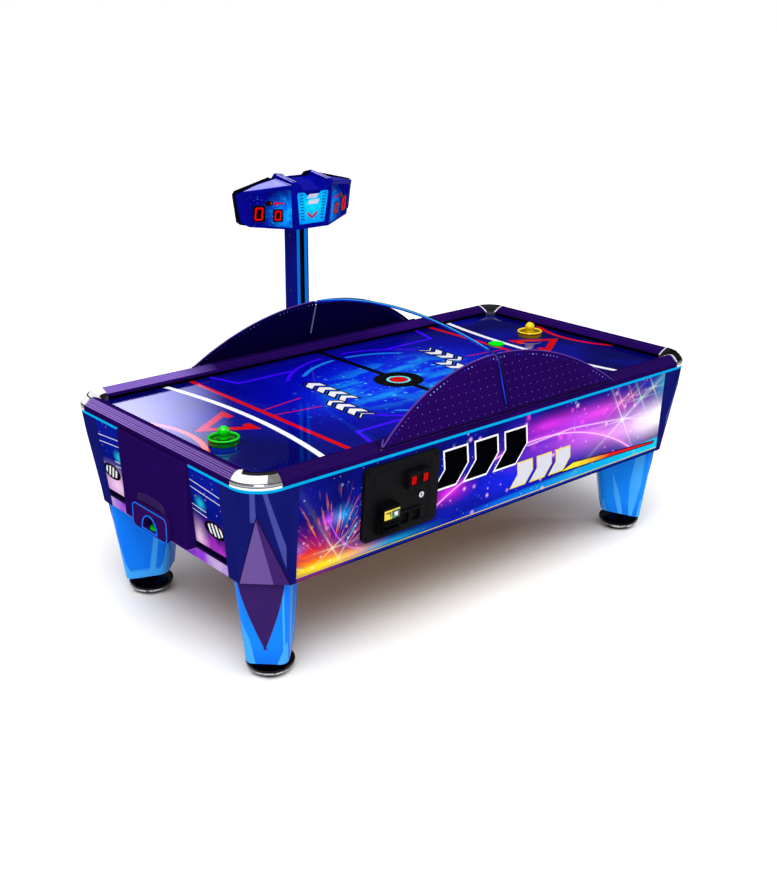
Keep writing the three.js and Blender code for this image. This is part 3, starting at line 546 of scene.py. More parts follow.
def field_material():
    """The playing surface: printed markings under clear gloss, with a grid of air holes."""
    paint = Paint("playing_surface")
    x, y = paint.x, paint.y
    ax, ay = abs(x), abs(y)
    radius = paint.distance(x, y)
    paint.start(rgb(2, 3, 84), rgb(4, 8, 200), paint.distance(x, y, (0, 0), (900, 620)).ramp(1.15, 0.25))
    paint.light(rgb(14, 30, 235), paint.noise(260, 4).ramp(0.5, 0.8) * 0.25)
    spread = paint.distance(x.scaled(0.96) + y * 0.28, y.scaled(0.96) - x * 0.28, (0, 0), (520, 300))
    paint.light(rgb(4, 66, 255), spread.ramp(1.25, 0.1) * 0.6)
    wisps = paint.noise(70, 5, (0.3, 1, 1)).ramp(0.46, 0.74)
    paint.light(rgb(24, 190, 235), (spread.ramp(0.95, 0.15) & wisps) * 0.75)
    near = spread.ramp(1.3, 0.5)
    for colour, size, reach, strength, falling, share in (
        (rgb(90, 235, 250), 74, 15, near, 1.4, 0.4),
        (rgb(120, 220, 255), 46, 7, near * 0.9, 1.4, 0.4),
        (rgb(70, 150, 255), 20, 2.2, near * 0.6, 1.4, 0.4),
        (rgb(60, 120, 220), 33, 2.4, 0.45, 1.5, 0.3),
    ):
        paint.stars(x, y, colour, size, reach, share, strength, falling)

    quarter = paint.to_path(ax, ay, [(617, 569), (573, 413), (285, 411)]).under(9)
    purple_arc = abs(radius - 490).under(8) & ay.over(300) & ax.over(60)
    cyan_arc = abs(radius - 425).under(10) & ay.over(312) & ax.over(36)
    white_arc = abs(paint.distance(ax, y, (3646, 15)) - 2858).under(13)
    guide = paint.to_segment(ax, ay, (706, 40), (490, 72)).under(4)
    red_line = abs(ax - 715).under(12)
    triangle = paint.depth_in(ax, y, [(836, -142), (1056, 0), (836, 142)]).between(0, 34, 1.5)
    triangle = triangle & (ax.over(874, 1) | ay.over(52, 1))
    crease = abs(paint.distance(ax, y, (1550, -11)) - 460).under(12) & ax.over(1050)
    paint.lay(rgb(58, 4, 250), quarter | purple_arc)
    paint.lay(rgb(20, 122, 226), cyan_arc)
    paint.lay(rgb(240, 240, 246), white_arc)
    paint.lay(rgb(204, 1, 2), guide | red_line | triangle)
    paint.lay(paint.mix(rgb(238, 96, 6), rgb(208, 8, 4), x.over(0)), crease)

    # A plain row of arrowheads in each half, white under a black edge.
    forward = y * paint.turned(x)
    for level, start, end in ((338, -62, 248), (420, -268, -28)):
        row = abs(ax - level)
        slanted = forward + row * 0.9
        arrows = slanted.fold(39)
        for colour, half, trim, low in ((rgb(4, 4, 8), 47, 0, 5), (rgb(232, 230, 240), 37, 10, 17)):
            inside = row.under(half) & slanted.between(start + trim, end - trim, 2)
            paint.lay(colour, arrows.over(low) & inside)

    paint.lay(rgb(3, 3, 6), radius.under(112) | ax.under(17))
    paint.lay(rgb(120, 226, 240), abs(radius - 48).under(6))
    paint.lay(rgb(214, 6, 4), radius.under(38))

    hole = paint.distance(x.fold(12.5), y.fold(12.5))
    paint.lay(rgb(40, 60, 150), hole.under(1.1, 0.6) * 0.7)
    paint.bump(hole.ramp(0.4, 1.4), 0.3)
    return paint.finish(paint.noise(60, 3).scaled(0.05, 0.045), 0.5)


def side_art():
    """Long side panel: night blue with a magenta cloud, an arc of light, sparks and a fiery corner."""
    paint = Paint("side_art")
    x, z = paint.x * paint.turned(paint.y), paint.z
    cloud = paint.noise(130, 5, (0.5, 1, 1))

    def haze(patches, blend="SCREEN"):
        for colour, centre, size, strength, wisp in patches:
            soft = paint.flare(x, z, centre, size).ramp(0.12, 0.95)
            paint.lay(colour, soft * cloud.scaled(wisp * 2, 1 - wisp) * strength, blend)

    paint.start(rgb(5, 7, 92), rgb(12, 28, 176), cloud.ramp(0.3, 0.75))
    paint.lay(rgb(6, 10, 88), x.between(-960, -760, 260) * z.ramp(560, 700))
    haze((
        (rgb(20, 30, 235), (60, 560), (330, 60), 0.7, 0.3),
        (rgb(150, 40, 220), (440, 690), (270, 56), 0.6, 0.5),
        (rgb(205, 30, 210), (270, 741), (110, 24), 1.0, 0.3),
        (rgb(220, 50, 210), (600, 722), (170, 30), 1.0, 0.4),
        (rgb(190, 60, 215), (540, 628), (230, 38), 0.9, 0.4),
        (rgb(205, 130, 225), (760, 605), (190, 46), 1.1, 0.3),
        (rgb(235, 205, 235), (930, 600), (96, 52), 1.2, 0.3),
        (rgb(250, 246, 250), (1050, 612), (86, 46), 1.5, 0.3),
        (rgb(205, 30, 205), (-296, 585), (62, 26), 1.2, 0.3),
        (rgb(60, 210, 200), (1090, 765), (60, 40), 0.9, 0.2),
    ))

    # A thin arc of light under the marks, a softer band of it above, and a straight beam to the star.
    arc = paint.distance(x, z, (199, -470))
    paint.light(rgb(214, 60, 225), abs(arc - 1163).ramp(20, 0) * x.between(-400, 860, 60) * 0.6)
    paint.light(rgb(255, 190, 250), abs(arc - 1160).under(2.4, 4) & x.between(-400, 850, 60))
    beam = paint.to_path(x, z, [(142, 676), (420, 690), (763, 655), (1020, 596)])
    paint.light(rgb(255, 214, 250), beam.under(2.4, 7) * 0.8)
    lens = paint.distance(x, z, (480, 560), (330, 78)).under(1, 0.16) & arc.over(1160, 8)
    paint.light(rgb(190, 90, 220), lens * 0.45)
    low = x.ramp(-260, 1150)
    band = (z - low * 34).under(466, 14)
    paint.lay(paint.mix(rgb(8, 40, 214), rgb(0, 205, 236), low), band * x.ramp(-330, -60))

    # Streaks of fire fan out from a point near the front left corner.
    fire_x, fire_z = x.scaled(1, 880), z.scaled(1, -452)
    turn = paint.math("ARCTAN2", fire_z, fire_x)
    reach = paint.distance(fire_x, fire_z)
    rays = paint.noise(1.0, 2, (17, 0.009, 1), paint.vector(turn, reach)).ramp(0.55, 0.66)
    streak = paint.mix(rgb(225, 20, 50), rgb(255, 150, 30), paint.noise(40, 2))
    paint.lay(streak, rays * reach.ramp(330, 170) * x.under(-740, 80))
    haze((
        (rgb(190, 10, 60), (-990, 580), (70, 36), 0.4, 0.9),
        (rgb(225, 30, 8), (-990, 525), (85, 30), 1.0, 0.9),
        (rgb(250, 110, 6), (-950, 490), (100, 20), 1.2, 0.8),
        (rgb(255, 214, 20), (-940, 466), (125, 13), 1.6, 0.6),
    ), "MIX")
    haze((
        (rgb(20, 120, 230), (-1060, 560), (34, 16), 0.9, 0.4),
        (rgb(190, 60, 230), (-905, 640), (22, 18), 0.9, 0.2),
        (rgb(20, 150, 225), (-838, 640), (30, 22), 1.0, 0.2),
        (rgb(20, 170, 210), (-600, 462), (120, 12), 0.9, 0.3),
        (rgb(225, 110, 30), (-800, 470), (80, 18), 1.1, 0.4),
    ))
    for colour, path in (
        (rgb(205, 70, 225), [(-905, 640), (-860, 560), (-800, 500), (-730, 470)]),
        (rgb(120, 220, 120), [(-1120, 520), (-1010, 470)]),
        (rgb(60, 190, 230), [(-850, 470), (-770, 590)]),
    ):
        paint.light(colour, paint.to_path(x, z, path).under(2.2, 3) * 0.9)

    bright = cloud.ramp(0.38, 0.6)
    for colour, size, radius, share, place in (
        (rgb(255, 70, 205), 74, 24, 0.5, x.between(100, 760, 120) * z.over(640, 60)),
        (rgb(255, 190, 245), 66, 15, 0.4, x.between(-330, 900, 120)),
        (rgb(255, 236, 200), 40, 9, 0.4, x.under(-720, 160) * z.under(640, 120)),
        (rgb(120, 220, 255), 90, 12, 0.4, bright),
        (rgb(255, 246, 236), 34, 4, 0.35, bright),
    ):
        paint.stars(x, z, colour, size, radius, share, place, 1.3)
    slant_a, slant_b = x + z * 0.6, z - x * 0.6
    for centre, size, colour in (
        ((763, 649), 1.0, WHITE),
        ((881, 728), 0.6, rgb(150, 245, 200)),
        ((742, 742), 0.35, rgb(255, 190, 110)),
        ((815, 752), 0.35, rgb(255, 170, 110)),
        ((965, 762), 0.4, rgb(225, 235, 110)),
        ((-880, 520), 0.5, rgb(255, 240, 180)),
    ):
        slanted = (centre[0] + centre[1] * 0.6, centre[1] - centre[0] * 0.6)
        star = greatest((
            paint.flare(x, z, centre, (9 * size, 9 * size)),
            paint.flare(slant_a, slant_b, slanted, (90 * size, 1.8)),
            paint.flare(slant_a, slant_b, slanted, (1.8, 90 * size)),
            paint.flare(x, z, centre, (60 * size, 1.4)),
        ))
        paint.light(colour, star)

    # Two plain rows of arrowheads, black over pale, where the cabinet carries its marks.
    swoosh = paint.depth_in(x, z, [(380, 497), (1010, 478), (1014, 483), (450, 520)])
    paint.lay(rgb(8, 6, 14), swoosh.over(-5, 1))
    paint.lay(paint.mix(rgb(250, 226, 60), rgb(220, 30, 40), x.ramp(470, 700)), swoosh.over(0, 1))
    for middle, half, start, end, pitch, edge, outline, fill in (
        (690, 84, -352, 158, 85.0, 8, WHITE, rgb(3, 3, 6)),
        (556, 56, 84, 440, 59.0, 6, rgb(236, 218, 20), rgb(212, 212, 226)),
    ):
        row = abs(z - middle)
        skewed = x - (z - middle) * 0.3 + row * 0.45
        arrows = (skewed - start).fold(pitch)
        for colour, trim in ((outline, 0), (fill, edge)):
            inside = row.under(half - trim) & skewed.between(start + trim, end - trim, 2)
            paint.lay(colour, arrows.over(pitch * 0.2 + trim) & inside)

    paint.lay(paint.mix(rgb(8, 12, 90), rgb(190, 60, 20), x.ramp(-760, -960) * cloud), z.under(445, 2))
    paint.lay(rgb(226, 190, 40), z.between(446, 449.5, 1.5))
    paint.lay(rgb(30, 60, 200), z.between(438, 441, 1.5))
    return paint.lacquer(paint.noise(60, 2), 0.2, 5, change=0.08)


def end_art():
    """End panel: blue with pairs of thin pale lines, haze low down and a dark groove over the bottom lip."""
    paint = Paint("end_art")
    y, z = paint.y * paint.turned(paint.x), paint.z
    ay = abs(y)

    def spot(across, centre, size, low):
        return paint.flare(across, z, centre, size).ramp(low, 1)

    paint.start(rgb(4, 8, 84), rgb(10, 26, 150), z.ramp(520, 760))
    paint.light(rgb(200, 60, 220), z.ramp(640, 520) * paint.noise(90, 4).ramp(0.3, 0.7))
    pale = spot(y, (350, 545), (120, 60), 0.2) | spot(ay, (262, 530), (40, 55), 0.2)
    paint.light(rgb(245, 205, 235), pale * 0.95)
    paint.light(rgb(30, 200, 230), spot(ay, (306, 684), (26, 22), 0.25) * 0.9)
    paint.stars(y, z, rgb(255, 170, 120), 34, 6, 0.3, 0.9)
    slope = z + (ay - 240) * 0.085
    for level, reach in ((768, 470), (739, 470), (667, 340), (646, 340)):
        paint.lay(rgb(225, 222, 235), abs(slope - level).under(1.7) & ay.under(reach))
    disc = paint.distance(ay, z, (385, 600), (72, 34))
    bars = (ay + z * 0.35).fold(13).over(6.5)
    paint.lay(BLACK, disc.under(1, 0.04))
    paint.lay(rgb(236, 236, 242), bars & disc.under(0.72, 0.05))
    groove = z.between(482, 508, 1.5)
    lip_tint = paint.mix(rgb(150, 60, 215), rgb(205, 190, 215), paint.noise(120, 1).ramp(0.35, 0.7))
    paint.lay(rgb(6, 6, 34), groove)
    paint.lay(lip_tint, z.under(474, 2))
    paint.lay(rgb(12, 10, 60), z.between(474, 482, 1))
    paint.bump(groove, -2.0)
    return paint.finish(paint.noise(60, 2).scaled(0.08, 0.2))


def rail_material(name, ribs_along_x):
    """Rail: ribs along the outer slope with a fine cross grid, deep purple inside, a painted sheen on the
    ribs near the back-left corner and along the end rails, and painted shade under the inner lip.
    """
    paint = Paint(name)
    along, across, edge = (paint.x, paint.y, 1) if ribs_along_x else (paint.y, paint.x, 0)
    inboard = RAIL_CORNER[edge] - abs(across)
    outer = inboard.under(36.5)
    fine = along.fold(8).over(7.1, 0.8)
    ridges = inboard.fold(3.1).over(1.9)
    # Painted sheen: the ribs grow pale lilac towards the back rail's left end, and along each end rail
    # towards one corner.
    if ribs_along_x:
        sheen_share = paint.x.ramp(-560, -760) & paint.y.over(0)
        tints = ((40, 16, 88), (128, 102, 184)), ((26, 6, 66), (84, 58, 142))
    else:
        sheen_share = (paint.y * paint.turned(paint.x)).ramp(-640, 480)
        tints = ((116, 88, 160), (146, 118, 192)), ((46, 18, 88), (84, 56, 138))
    light, dark = (paint.mix(rgb(*away), rgb(*near), sheen_share) for away, near in tints)
    paint.start(rgb(26, 5, 68), rgb(36, 9, 88), paint.noise(120, 3, (0.3, 0.3, 1)).ramp(0.4, 0.8))
    paint.lay(rgb(54, 22, 108), (inboard.between(58, 62, 2) | inboard.between(76, 78, 1.5)) * 0.6)
    paint.lay(paint.mix(light, dark, ridges | fine), outer & inboard.over(4.5))
    if ribs_along_x:
        glare = paint.mix(rgb(122, 94, 176), rgb(96, 68, 150), inboard.fold(5.5).over(4.3))
        paint.lay(glare, sheen_share & inboard.between(37, 81, 3))
    # Painted shade: near black on the inner face under the rail's lip.
    paint.lay(rgb(4, 3, 10), inboard.over(94, 1.5) & paint.z.under(853))
    paint.bump((ridges | fine) & outer, -0.35)
    return paint.finish(paint.noise(40, 3).scaled(0.1, 0.24))


def guard_material():
    """Smoked purple panel with a row of small lamps inside its arc and faint staggered dots, a painted
    highlight along the arc's edge and a painted shadow line along its foot.
    """
    paint = Paint("guard_panel")
    height = (paint.z - GUARD_BASE_Z) * (1 / math.cos(GUARD_LEAN))
    arc_radius = (GUARD_HALF**2 + GUARD_RISE**2) / (2 * GUARD_RISE)
    reach = paint.distance(paint.x, height, (0, GUARD_RISE - arc_radius))
    turn = paint.math("ARCTAN2", paint.x, height + (arc_radius - GUARD_RISE))
    outside = (abs(paint.y) + height * math.sin(GUARD_LEAN) - GUARD_FOOT_Y).over(2)
    step = 21 / arc_radius
    spot = paint.distance(turn.fold(step / 2) * arc_radius, reach - (arc_radius - 17))
    lamps = spot.under(2.4) * paint.noise(46, 0).ramp(0.35, 0.6)
    row = (height - 20).fold(17)
    dots = paint.distance((paint.x + row * 1.18).fold(20), row).under(1.6)
    dots = dots & reach.under(arc_radius - 34, 4) & height.over(16, 2) & outside
    tint = paint.mix(rgb(10, 60, 250), rgb(150, 170, 255), paint.noise(90, 0).ramp(0.56, 0.62))
    outer_face = paint.mix(rgb(26, 4, 66), rgb(36, 6, 88), paint.noise(200, 2))
    paint.start(rgb(12, 2, 58), outer_face, outside)
    paint.lay(rgb(150, 146, 196), dots * 0.5)
    paint.lay(tint, lamps)
    # Painted highlight: a thin lilac line along the arc's edge.
    paint.lay(rgb(86, 54, 142), abs(reach - arc_radius).under(2.6, 0.8))
    # Painted shadow: a black line just above the foot.
    paint.lay(BLACK, height.between(3, 8))
    paint.bump(dots, -0.3)
    rough = paint.noise(80, 2).scaled(0.06, 0.14)
    return paint.finish(rough, 0.03, Emission_Color=tint, Emission_Strength=lamps * 0.3)


def corner_across(paint, corner):
    """Signed distance round a corner from its diagonal, positive along the long side."""
    return (abs(paint.y) - abs(paint.x)).scaled(0.7071, 0.7071 * (corner[0] - corner[1]))


def casting_material():
    paint = Paint("corner_casting")
    drift = paint.noise(160, 2, (1, 1, 0.2))
    across = corner_across(paint, CABINET_CORNER)
    # Painted reflections: two pale streaks down the outer face.
    reflection_streaks = [
        paint.depth_in(across, paint.z, outline).over(0, 1.5)
        for outline in (
            [(-22, 700), (0, 700), (1, 830), (-17, 830)],
            [(94, 500), (97, 592), (40, 830), (26, 830), (73, 592)],
        )
    ]
    paint.start(rgb(15, 18, 92), rgb(24, 28, 110), drift.ramp(0.3, 0.7))
    paint.lay(rgb(66, 72, 150), greatest(reflection_streaks))
    return paint.lacquer(drift, 0.14)


def trim_material():
    """Tapered corner plate with two facets, the left one lit."""
    paint = Paint("corner_trim")
    drift = paint.noise(110, 2, (1, 1, 0.3))
    ridge = corner_across(paint, CABINET_CORNER) + paint.z.scaled(0.16, 4 - 0.16 * APEX_Z)
    paint.start(rgb(56, 30, 98), rgb(66, 38, 108), drift)
    paint.lay(rgb(104, 80, 146), ridge.under(0, 2))
    return paint.lacquer(drift, 0.2, 2.5, 0.02, 0.08)


def leg_material():
    """Bright blue with painted shade towards the foot and painted highlights in long streaks down each face.
    """
    paint = Paint("leg_blue")
    drift = paint.noise(180, 2, (1, 1, 0.25))
    across = corner_across(paint, LEG_MIDDLE)
    out = (abs(paint.y) + abs(paint.x)) * 0.7071
    front, long_side, short_side = abs(across).under(84), across.over(84), across.under(-80)
    # Painted highlights: pale streaks down the front and side faces.
    reflection_streaks = [
        paint.depth_in(position, paint.z, outline).over(0, 1.5) & face
        for face, position, outline in (
            (front, across, [(-88, 70), (-38, 70), (-56, 180), (-88, 268)]),
            (front, across, [(42, 70), (82, 70), (84, 170)]),
            (front, across, [(66, 70), (74, 70), (82, 430), (76, 430)]),
            (
                long_side,
                out,
                [(1078, 60), (1088, 60), (1130, 241), (1146, 430), (1108, 430), (1078, 260), (1075, 150)],
            ),
            (long_side, out, [(1037, 60), (1056, 60), (1031, 193), (996, 300), (1005, 193)]),
            (short_side, out, [(1008, 60), (1034, 60), (972, 430), (952, 430)]),
        )
    ]
    paint.start(rgb(14, 118, 246), rgb(22, 140, 255), drift.ramp(0.3, 0.7))
    # Painted shade: darker towards the foot.
    paint.lay(rgb(14, 92, 205), paint.z.ramp(150, 85) * 0.5)
    paint.lay(rgb(66, 168, 255), greatest(reflection_streaks))
    return paint.lacquer(drift, 0.16, specular=0.02)


def post_material():
    paint = Paint("post_paint")
    gap = abs(paint.x).under(13) & paint.y.under(POST_FRONT + 6) & paint.z.over(880, 2)
    paint.start(rgb(10, 12, 100), rgb(22, 28, 150), paint.noise(150, 2, (1, 1, 0.15)))
    paint.lay(BLACK, gap)
    return paint.lacquer(paint.noise(60, 2), 0.2, change=0.08)


def bar_material():
    """Overhead bar: black with blue sides."""
    paint = Paint("bar_black")
    blue = abs(paint.x).over(4.6) * paint.noise(140, 2).ramp(0.25, 0.5)
    paint.start(rgb(2, 2, 8), rgb(30, 60, 235), blue)
    return paint.lacquer(paint.noise(40, 2), 0.2, 5, 0.02, specular=0.15)


def head_material():
    """Score head shell: royal blue, with its upper left facet catching the light."""
    paint = Paint("head_blue")
    drift = paint.noise(70, 2)
    ridge_x, ridge_z = HEAD_RIDGE_HIGH[::2]
    tip_x, tip_z = HEAD_TIP_HIGH[::2]
    level = paint.z + (abs(paint.x) - ridge_x) * ((ridge_z - tip_z) / (tip_x - ridge_x))
    facet = level.over(ridge_z + 1.2) & abs(paint.x).between(126, 319, 5) & paint.y.under(748, 6)
    paint.start(rgb(4, 6, 120), rgb(6, 8, 158), drift)
    lit = paint.mix(rgb(110, 110, 232), rgb(176, 176, 250), drift)
    paint.lay(lit, facet * (paint.x.ramp(-60, -130) + 0.1))
    return paint.lacquer(drift, 0.14, 3.5, 0.02, specular=0.01)


def board_material():
    """Raw chipboard."""
    paint = Paint("raw_board")
    flakes = paint.noise(9, 3, (0.4, 1, 1))
    paint.start(rgb(120, 88, 56), rgb(178, 140, 98), paint.noise(60, 6, (0.08, 1, 1)))
    paint.lay(rgb(96, 68, 42), flakes.ramp(0.6, 0.8))
    paint.bump(flakes, 0.15)
    return paint.finish(flakes.scaled(0.2, 0.6), 0.5)


def cap_material():
    """Polished corner cap with painted reflections: a bright crown on the left pair, a black one on the
    right, banded sides.
    """
    paint = Paint("chrome_cap")
    polish_and_sheen = paint.noise(45, 4)
    # Painted reflections: bright or black crowns, a grey tail and a dark crescent on the front caps, and dark
    # and silver bands round the sides.
    crown, right, near = paint.z.over(853, 2), paint.x.over(0, 10), paint.y.under(0, 10)
    across = corner_across(paint, CABINET_CORNER)
    reach = paint.distance(abs(paint.x), abs(paint.y), (1120, 540))
    crescent = reach.under(106, 2) & across.over(-50, 3) & near
    lines = paint.z.between(838, 841) | paint.z.between(850, 853)
    silver = paint.z.between(841, 850, 1.5)
    paint.start(rgb(236, 236, 240), rgb(158, 160, 166), silver | (crown & polish_and_sheen.ramp(0.5, 0.75) * 0.4))
    paint.lay(rgb(104, 104, 102), across.over(44, 3) & crown & near)
    paint.lay(rgb(12, 12, 14), lines | (crown & (right | crescent | reach.under(52, 2))))
    # Painted highlight: a thin pale line on the right caps' crowns where they meet the rails.
    edge_line = (abs(paint.x).under(1126) | abs(paint.y).under(546)) & right & crown
    paint.lay(rgb(225, 222, 228), edge_line)
    # Painted reflection: a thin dark line round the back-left cap's crown.
    paint.lay(rgb(10, 12, 24), reach.between(97, 103) & paint.x.under(0) & paint.y.over(0))
    return paint.lacquer(polish_and_sheen, 0.05, 6, 0.006, 0.05, specular=0.1, Metallic=silver.scaled(0.75, 0.05))


def foot_material():
    """Chrome foot painted dark for its dark reflections, with a painted silver glint round its waist."""
    paint = Paint("chrome_foot")
    polish_and_sheen = paint.noise(30, 3)
    # Painted reflections: near black, with a patchy silver glint round the waist.
    paint.start(rgb(22, 22, 26), rgb(236, 236, 240), paint.z.between(10, 30, 5) * polish_and_sheen.ramp(0.42, 0.5))
    return paint.lacquer(polish_and_sheen, 0.06, 6, 0.006, 0.08, specular=0.5, Metallic=1.0)


def lock_material():
    """Lock barrel: a pale ring round a dark keyway."""
    paint = Paint("lock_steel")
    grain = paint.noise(8, 3)
    reach = paint.distance(paint.x, paint.z, LOCK_AT)
    keyway = reach.under(4.2, 0.5) | (abs(paint.x - LOCK_AT[0]).under(1.6, 0.4) & reach.under(7, 0.5))
    paint.start(rgb(196, 198, 202), rgb(226, 228, 232), grain)
    paint.lay(rgb(20, 20, 22), keyway | reach.over(12.2, 0.5))
    paint.bump(grain, 0.01)
    return paint.finish(grain.scaled(0.1, 0.3), 0.5, Metallic=0.1)


def mallet_material(name, colour):
    """Glossy striker: bright rim and knob, painted shade in the dish and under the rim, a darker skirt, and a
    painted shadow line between rim and skirt.
    """
    paint = Paint(name)
    drift = paint.noise(24, 2)
    height = paint.z - PLAY_Z
    shaded = darker(colour, 0.5)
    paint.start(colour, shaded, drift * 0.2)
    # Painted shade under the rim and in the dish, a darker skirt, and a painted shadow line under the rim's
    # lip.
    for shade, amount in (
        (shaded, height.between(17, 23.5)),
        (darker(colour, 0.22), height.under(17)),
        (rgb(4, 8, 6), height.between(16.5, 19.5, 0.6)),
        (shaded, height.ramp(48, 32) & height.over(30)),
    ):
        paint.lay(shade, amount)
    return paint.lacquer(drift, 0.12, 3.5, 0.02, specular=0.3, Coat_Weight=0.3, Coat_Roughness=0.05)


def dress_nodes():
    """Gives every CAD node its material."""
    sides, ends = ("front", "back"), ("left", "right")
    door_black = gloss("door_black", rgb(14, 14, 17), 0.42, peel=0.08, specular=0.03)
    acceptor_black = gloss("acceptor_black", rgb(8, 8, 10), 0.5, peel=0.08, specular=0.03)
    steel = metal("sheet_steel", rgb(168, 172, 178), 0.35, 40, (1, 0.2, 1))
    board = board_material()
    for material, stem, places in (
        (field_material(), "playfield", ()),
        (rail_material("rail_side", True), "rail", sides),
        (rail_material("rail_end", False), "rail", ends),
        (side_art(), "cabinet", sides),
        (end_art(), "cabinet", ends),
        (board, "cabinet_floor", ()),
        (board, "plenum_box", ()),
        (casting_material(), "corner_casting", CORNERS),
        (trim_material(), "corner_trim", CORNERS),
        (leg_material(), "leg", CORNERS),
        (foot_material(), "levelling_foot", CORNERS),
        (cap_material(), "corner_cap", CORNERS),
        (lamp("light_strip", rgb(0, 186, 255), 1.0, rgb(0, 10, 20)), "light_strip", sides),
        (gloss("purple_shell", rgb(34, 10, 84), 0.25), "goal_cover", ends),
        (gloss("bezel_purple", rgb(46, 14, 88), 0.2), "puck_return", ends),
        (gloss("chute_black", rgb(10, 10, 14), 0.5), "puck_chute", ends),
        (guard_material(), "side_guard", sides),
        (bar_material(), "overhead_bar", ()),
        (post_material(), "score_post", ()),
        (head_material(), "score_head", ()),
        (door_black, "coin", ("frame", "door")),
        (acceptor_black, "note_acceptor", ()),
        (acceptor_black, "coin_return_flap", ends),
        (lock_material(), "door_lock", ()),
        (lamp("button_red", rgb(225, 16, 10), 0.7, rgb(120, 4, 4)), "reject_button", ends),
        (steel, "cash_box", ()),
        (steel, "control_box", ()),
        (steel, "blower_housing", ()),
        (gloss("wheel_grey", rgb(120, 122, 128), 0.4), "blower_wheel", ()),
        (mallet_material("mallet_green", rgb(4, 215, 14)), "mallet_green", ()),
        (mallet_material("mallet_yellow", rgb(255, 212, 4)), "mallet_yellow", ()),
        (gloss("puck_green", rgb(2, 226, 20), 0.22, 0.1), "puck", ("", "spare")),
    ):
        for name in [f"{stem}_{place}".rstrip("_") for place in places] or [stem]:
            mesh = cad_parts[name].data
            mesh.materials.clear()
            mesh.materials.append(material)


# ---------- leg points and other trim ----------


def cornered(corner, centre, out, across, z):
    """A point at a corner, from its centre out along the diagonal and across towards the long side."""
    sx, sy = CORNERS[corner]
    along_x, along_y = (out + across) / math.sqrt(2), (out - across) / math.sqrt(2)
    return (sx * (centre[0] + along_x), sy * (centre[1] + along_y), z)


def leg_surface(corner, z, offset, proud):
    """A point on a leg's outer face, offset round its outline from the middle and proud of it."""
    share = (CABINET_BOTTOM - z) / (CABINET_BOTTOM - LEG_BOTTOM)
    x, y, long, wide, radius = (a + (b - a) * share for a, b in zip(LEG_TOP, LEG_FOOT))
    flat = wide - radius
    if abs(offset) <= flat:
        return cornered(corner, (x, y), long + proud, offset, z)
    angle = (abs(offset) - flat) / radius
    out = long - radius + (radius + proud) * math.cos(angle)
    across = math.copysign(flat + (radius + proud) * math.sin(angle), offset)
    return cornered(corner, (x, y), out, across, z)


def sheet(outer_rows, inner_rows):
    """Closed skin between an outer and an inner grid of points."""
    across, rows = len(outer_rows[0]), len(outer_rows)
    points = [point for row in outer_rows + inner_rows for point in row]
    half = rows * across
    faces = []
    for r in range(rows - 1):
        for a in range(r * across, (r + 1) * across - 1):
            b = a + across
            faces.append((a, a + 1, b + 1, b))
            faces.append((half + a, half + b, half + b + 1, half + a + 1))
    edge = list(range(across))
    edge += [r * across + across - 1 for r in range(1, rows)]
    edge += [(rows - 1) * across + c for c in range(across - 2, -1, -1)]
    edge += [r * across for r in range(rows - 2, 0, -1)]
    faces += [(a, half + a, half + b, b) for a, b in zip(edge, edge[1:] + edge[:1])]
    return points, faces


def pointed_rows(corner, grow, proud):
    """Rows of points on a leg's face within a long downward point, widened by grow."""
    top, tip, half_top, least_half = 428.2, 139, 83, 5
    levels, columns = 22, 12
    rows = []
    for i in range(levels + 1):
        share = i / levels
        z = top - (top - tip + grow) * share
        half = max((half_top + grow) * (1 - share**1.35), least_half)
        rows.append([leg_surface(corner, z, half * (2 * c / columns - 1), proud) for c in range(columns + 1)])
    return rows


def make_leg_trims():
    """The pointed plate that carries each corner's trim down the leg, with a thin maroon edge."""
    plate = gloss("leg_trim", rgb(56, 34, 98), 0.22, size=120)
    edge = gloss("leg_trim_edge", rgb(86, 16, 66), 0.3)
    for corner in CORNERS:
        for name, material, grow, low, high in (
            ("leg_trim_edge_", edge, 3.2, 0.5, 1.8),
            ("leg_trim_", plate, 0.0, 0.6, 2.8),
        ):
            points, faces = sheet(pointed_rows(corner, grow, high), pointed_rows(corner, grow, low))
            piece(name + corner, points, faces, material)


def make_corner_seams():
    """A thin dark line down both edges of each corner trim."""
    edge_line = gloss("trim_seam", rgb(40, 8, 40), 0.35)
    for corner in CORNERS:
        for label, side in (("a", -1), ("b", 1)):
            path = []
            for z in (431, 520, 620, 716):
                share = (APEX_Z - z) / (APEX_Z - CABINET_BOTTOM)
                centre = [edge - (CABINET_TOP - z) * slope for edge, slope in zip(CABINET_CORNER, TAPER)]
                path.append(cornered(corner, centre, 1.6 - 54 - 42 * share, side * (94 * share - 0.5), z))
            rod(f"trim_seam_{corner}_{label}", path, 1.4, edge_line)


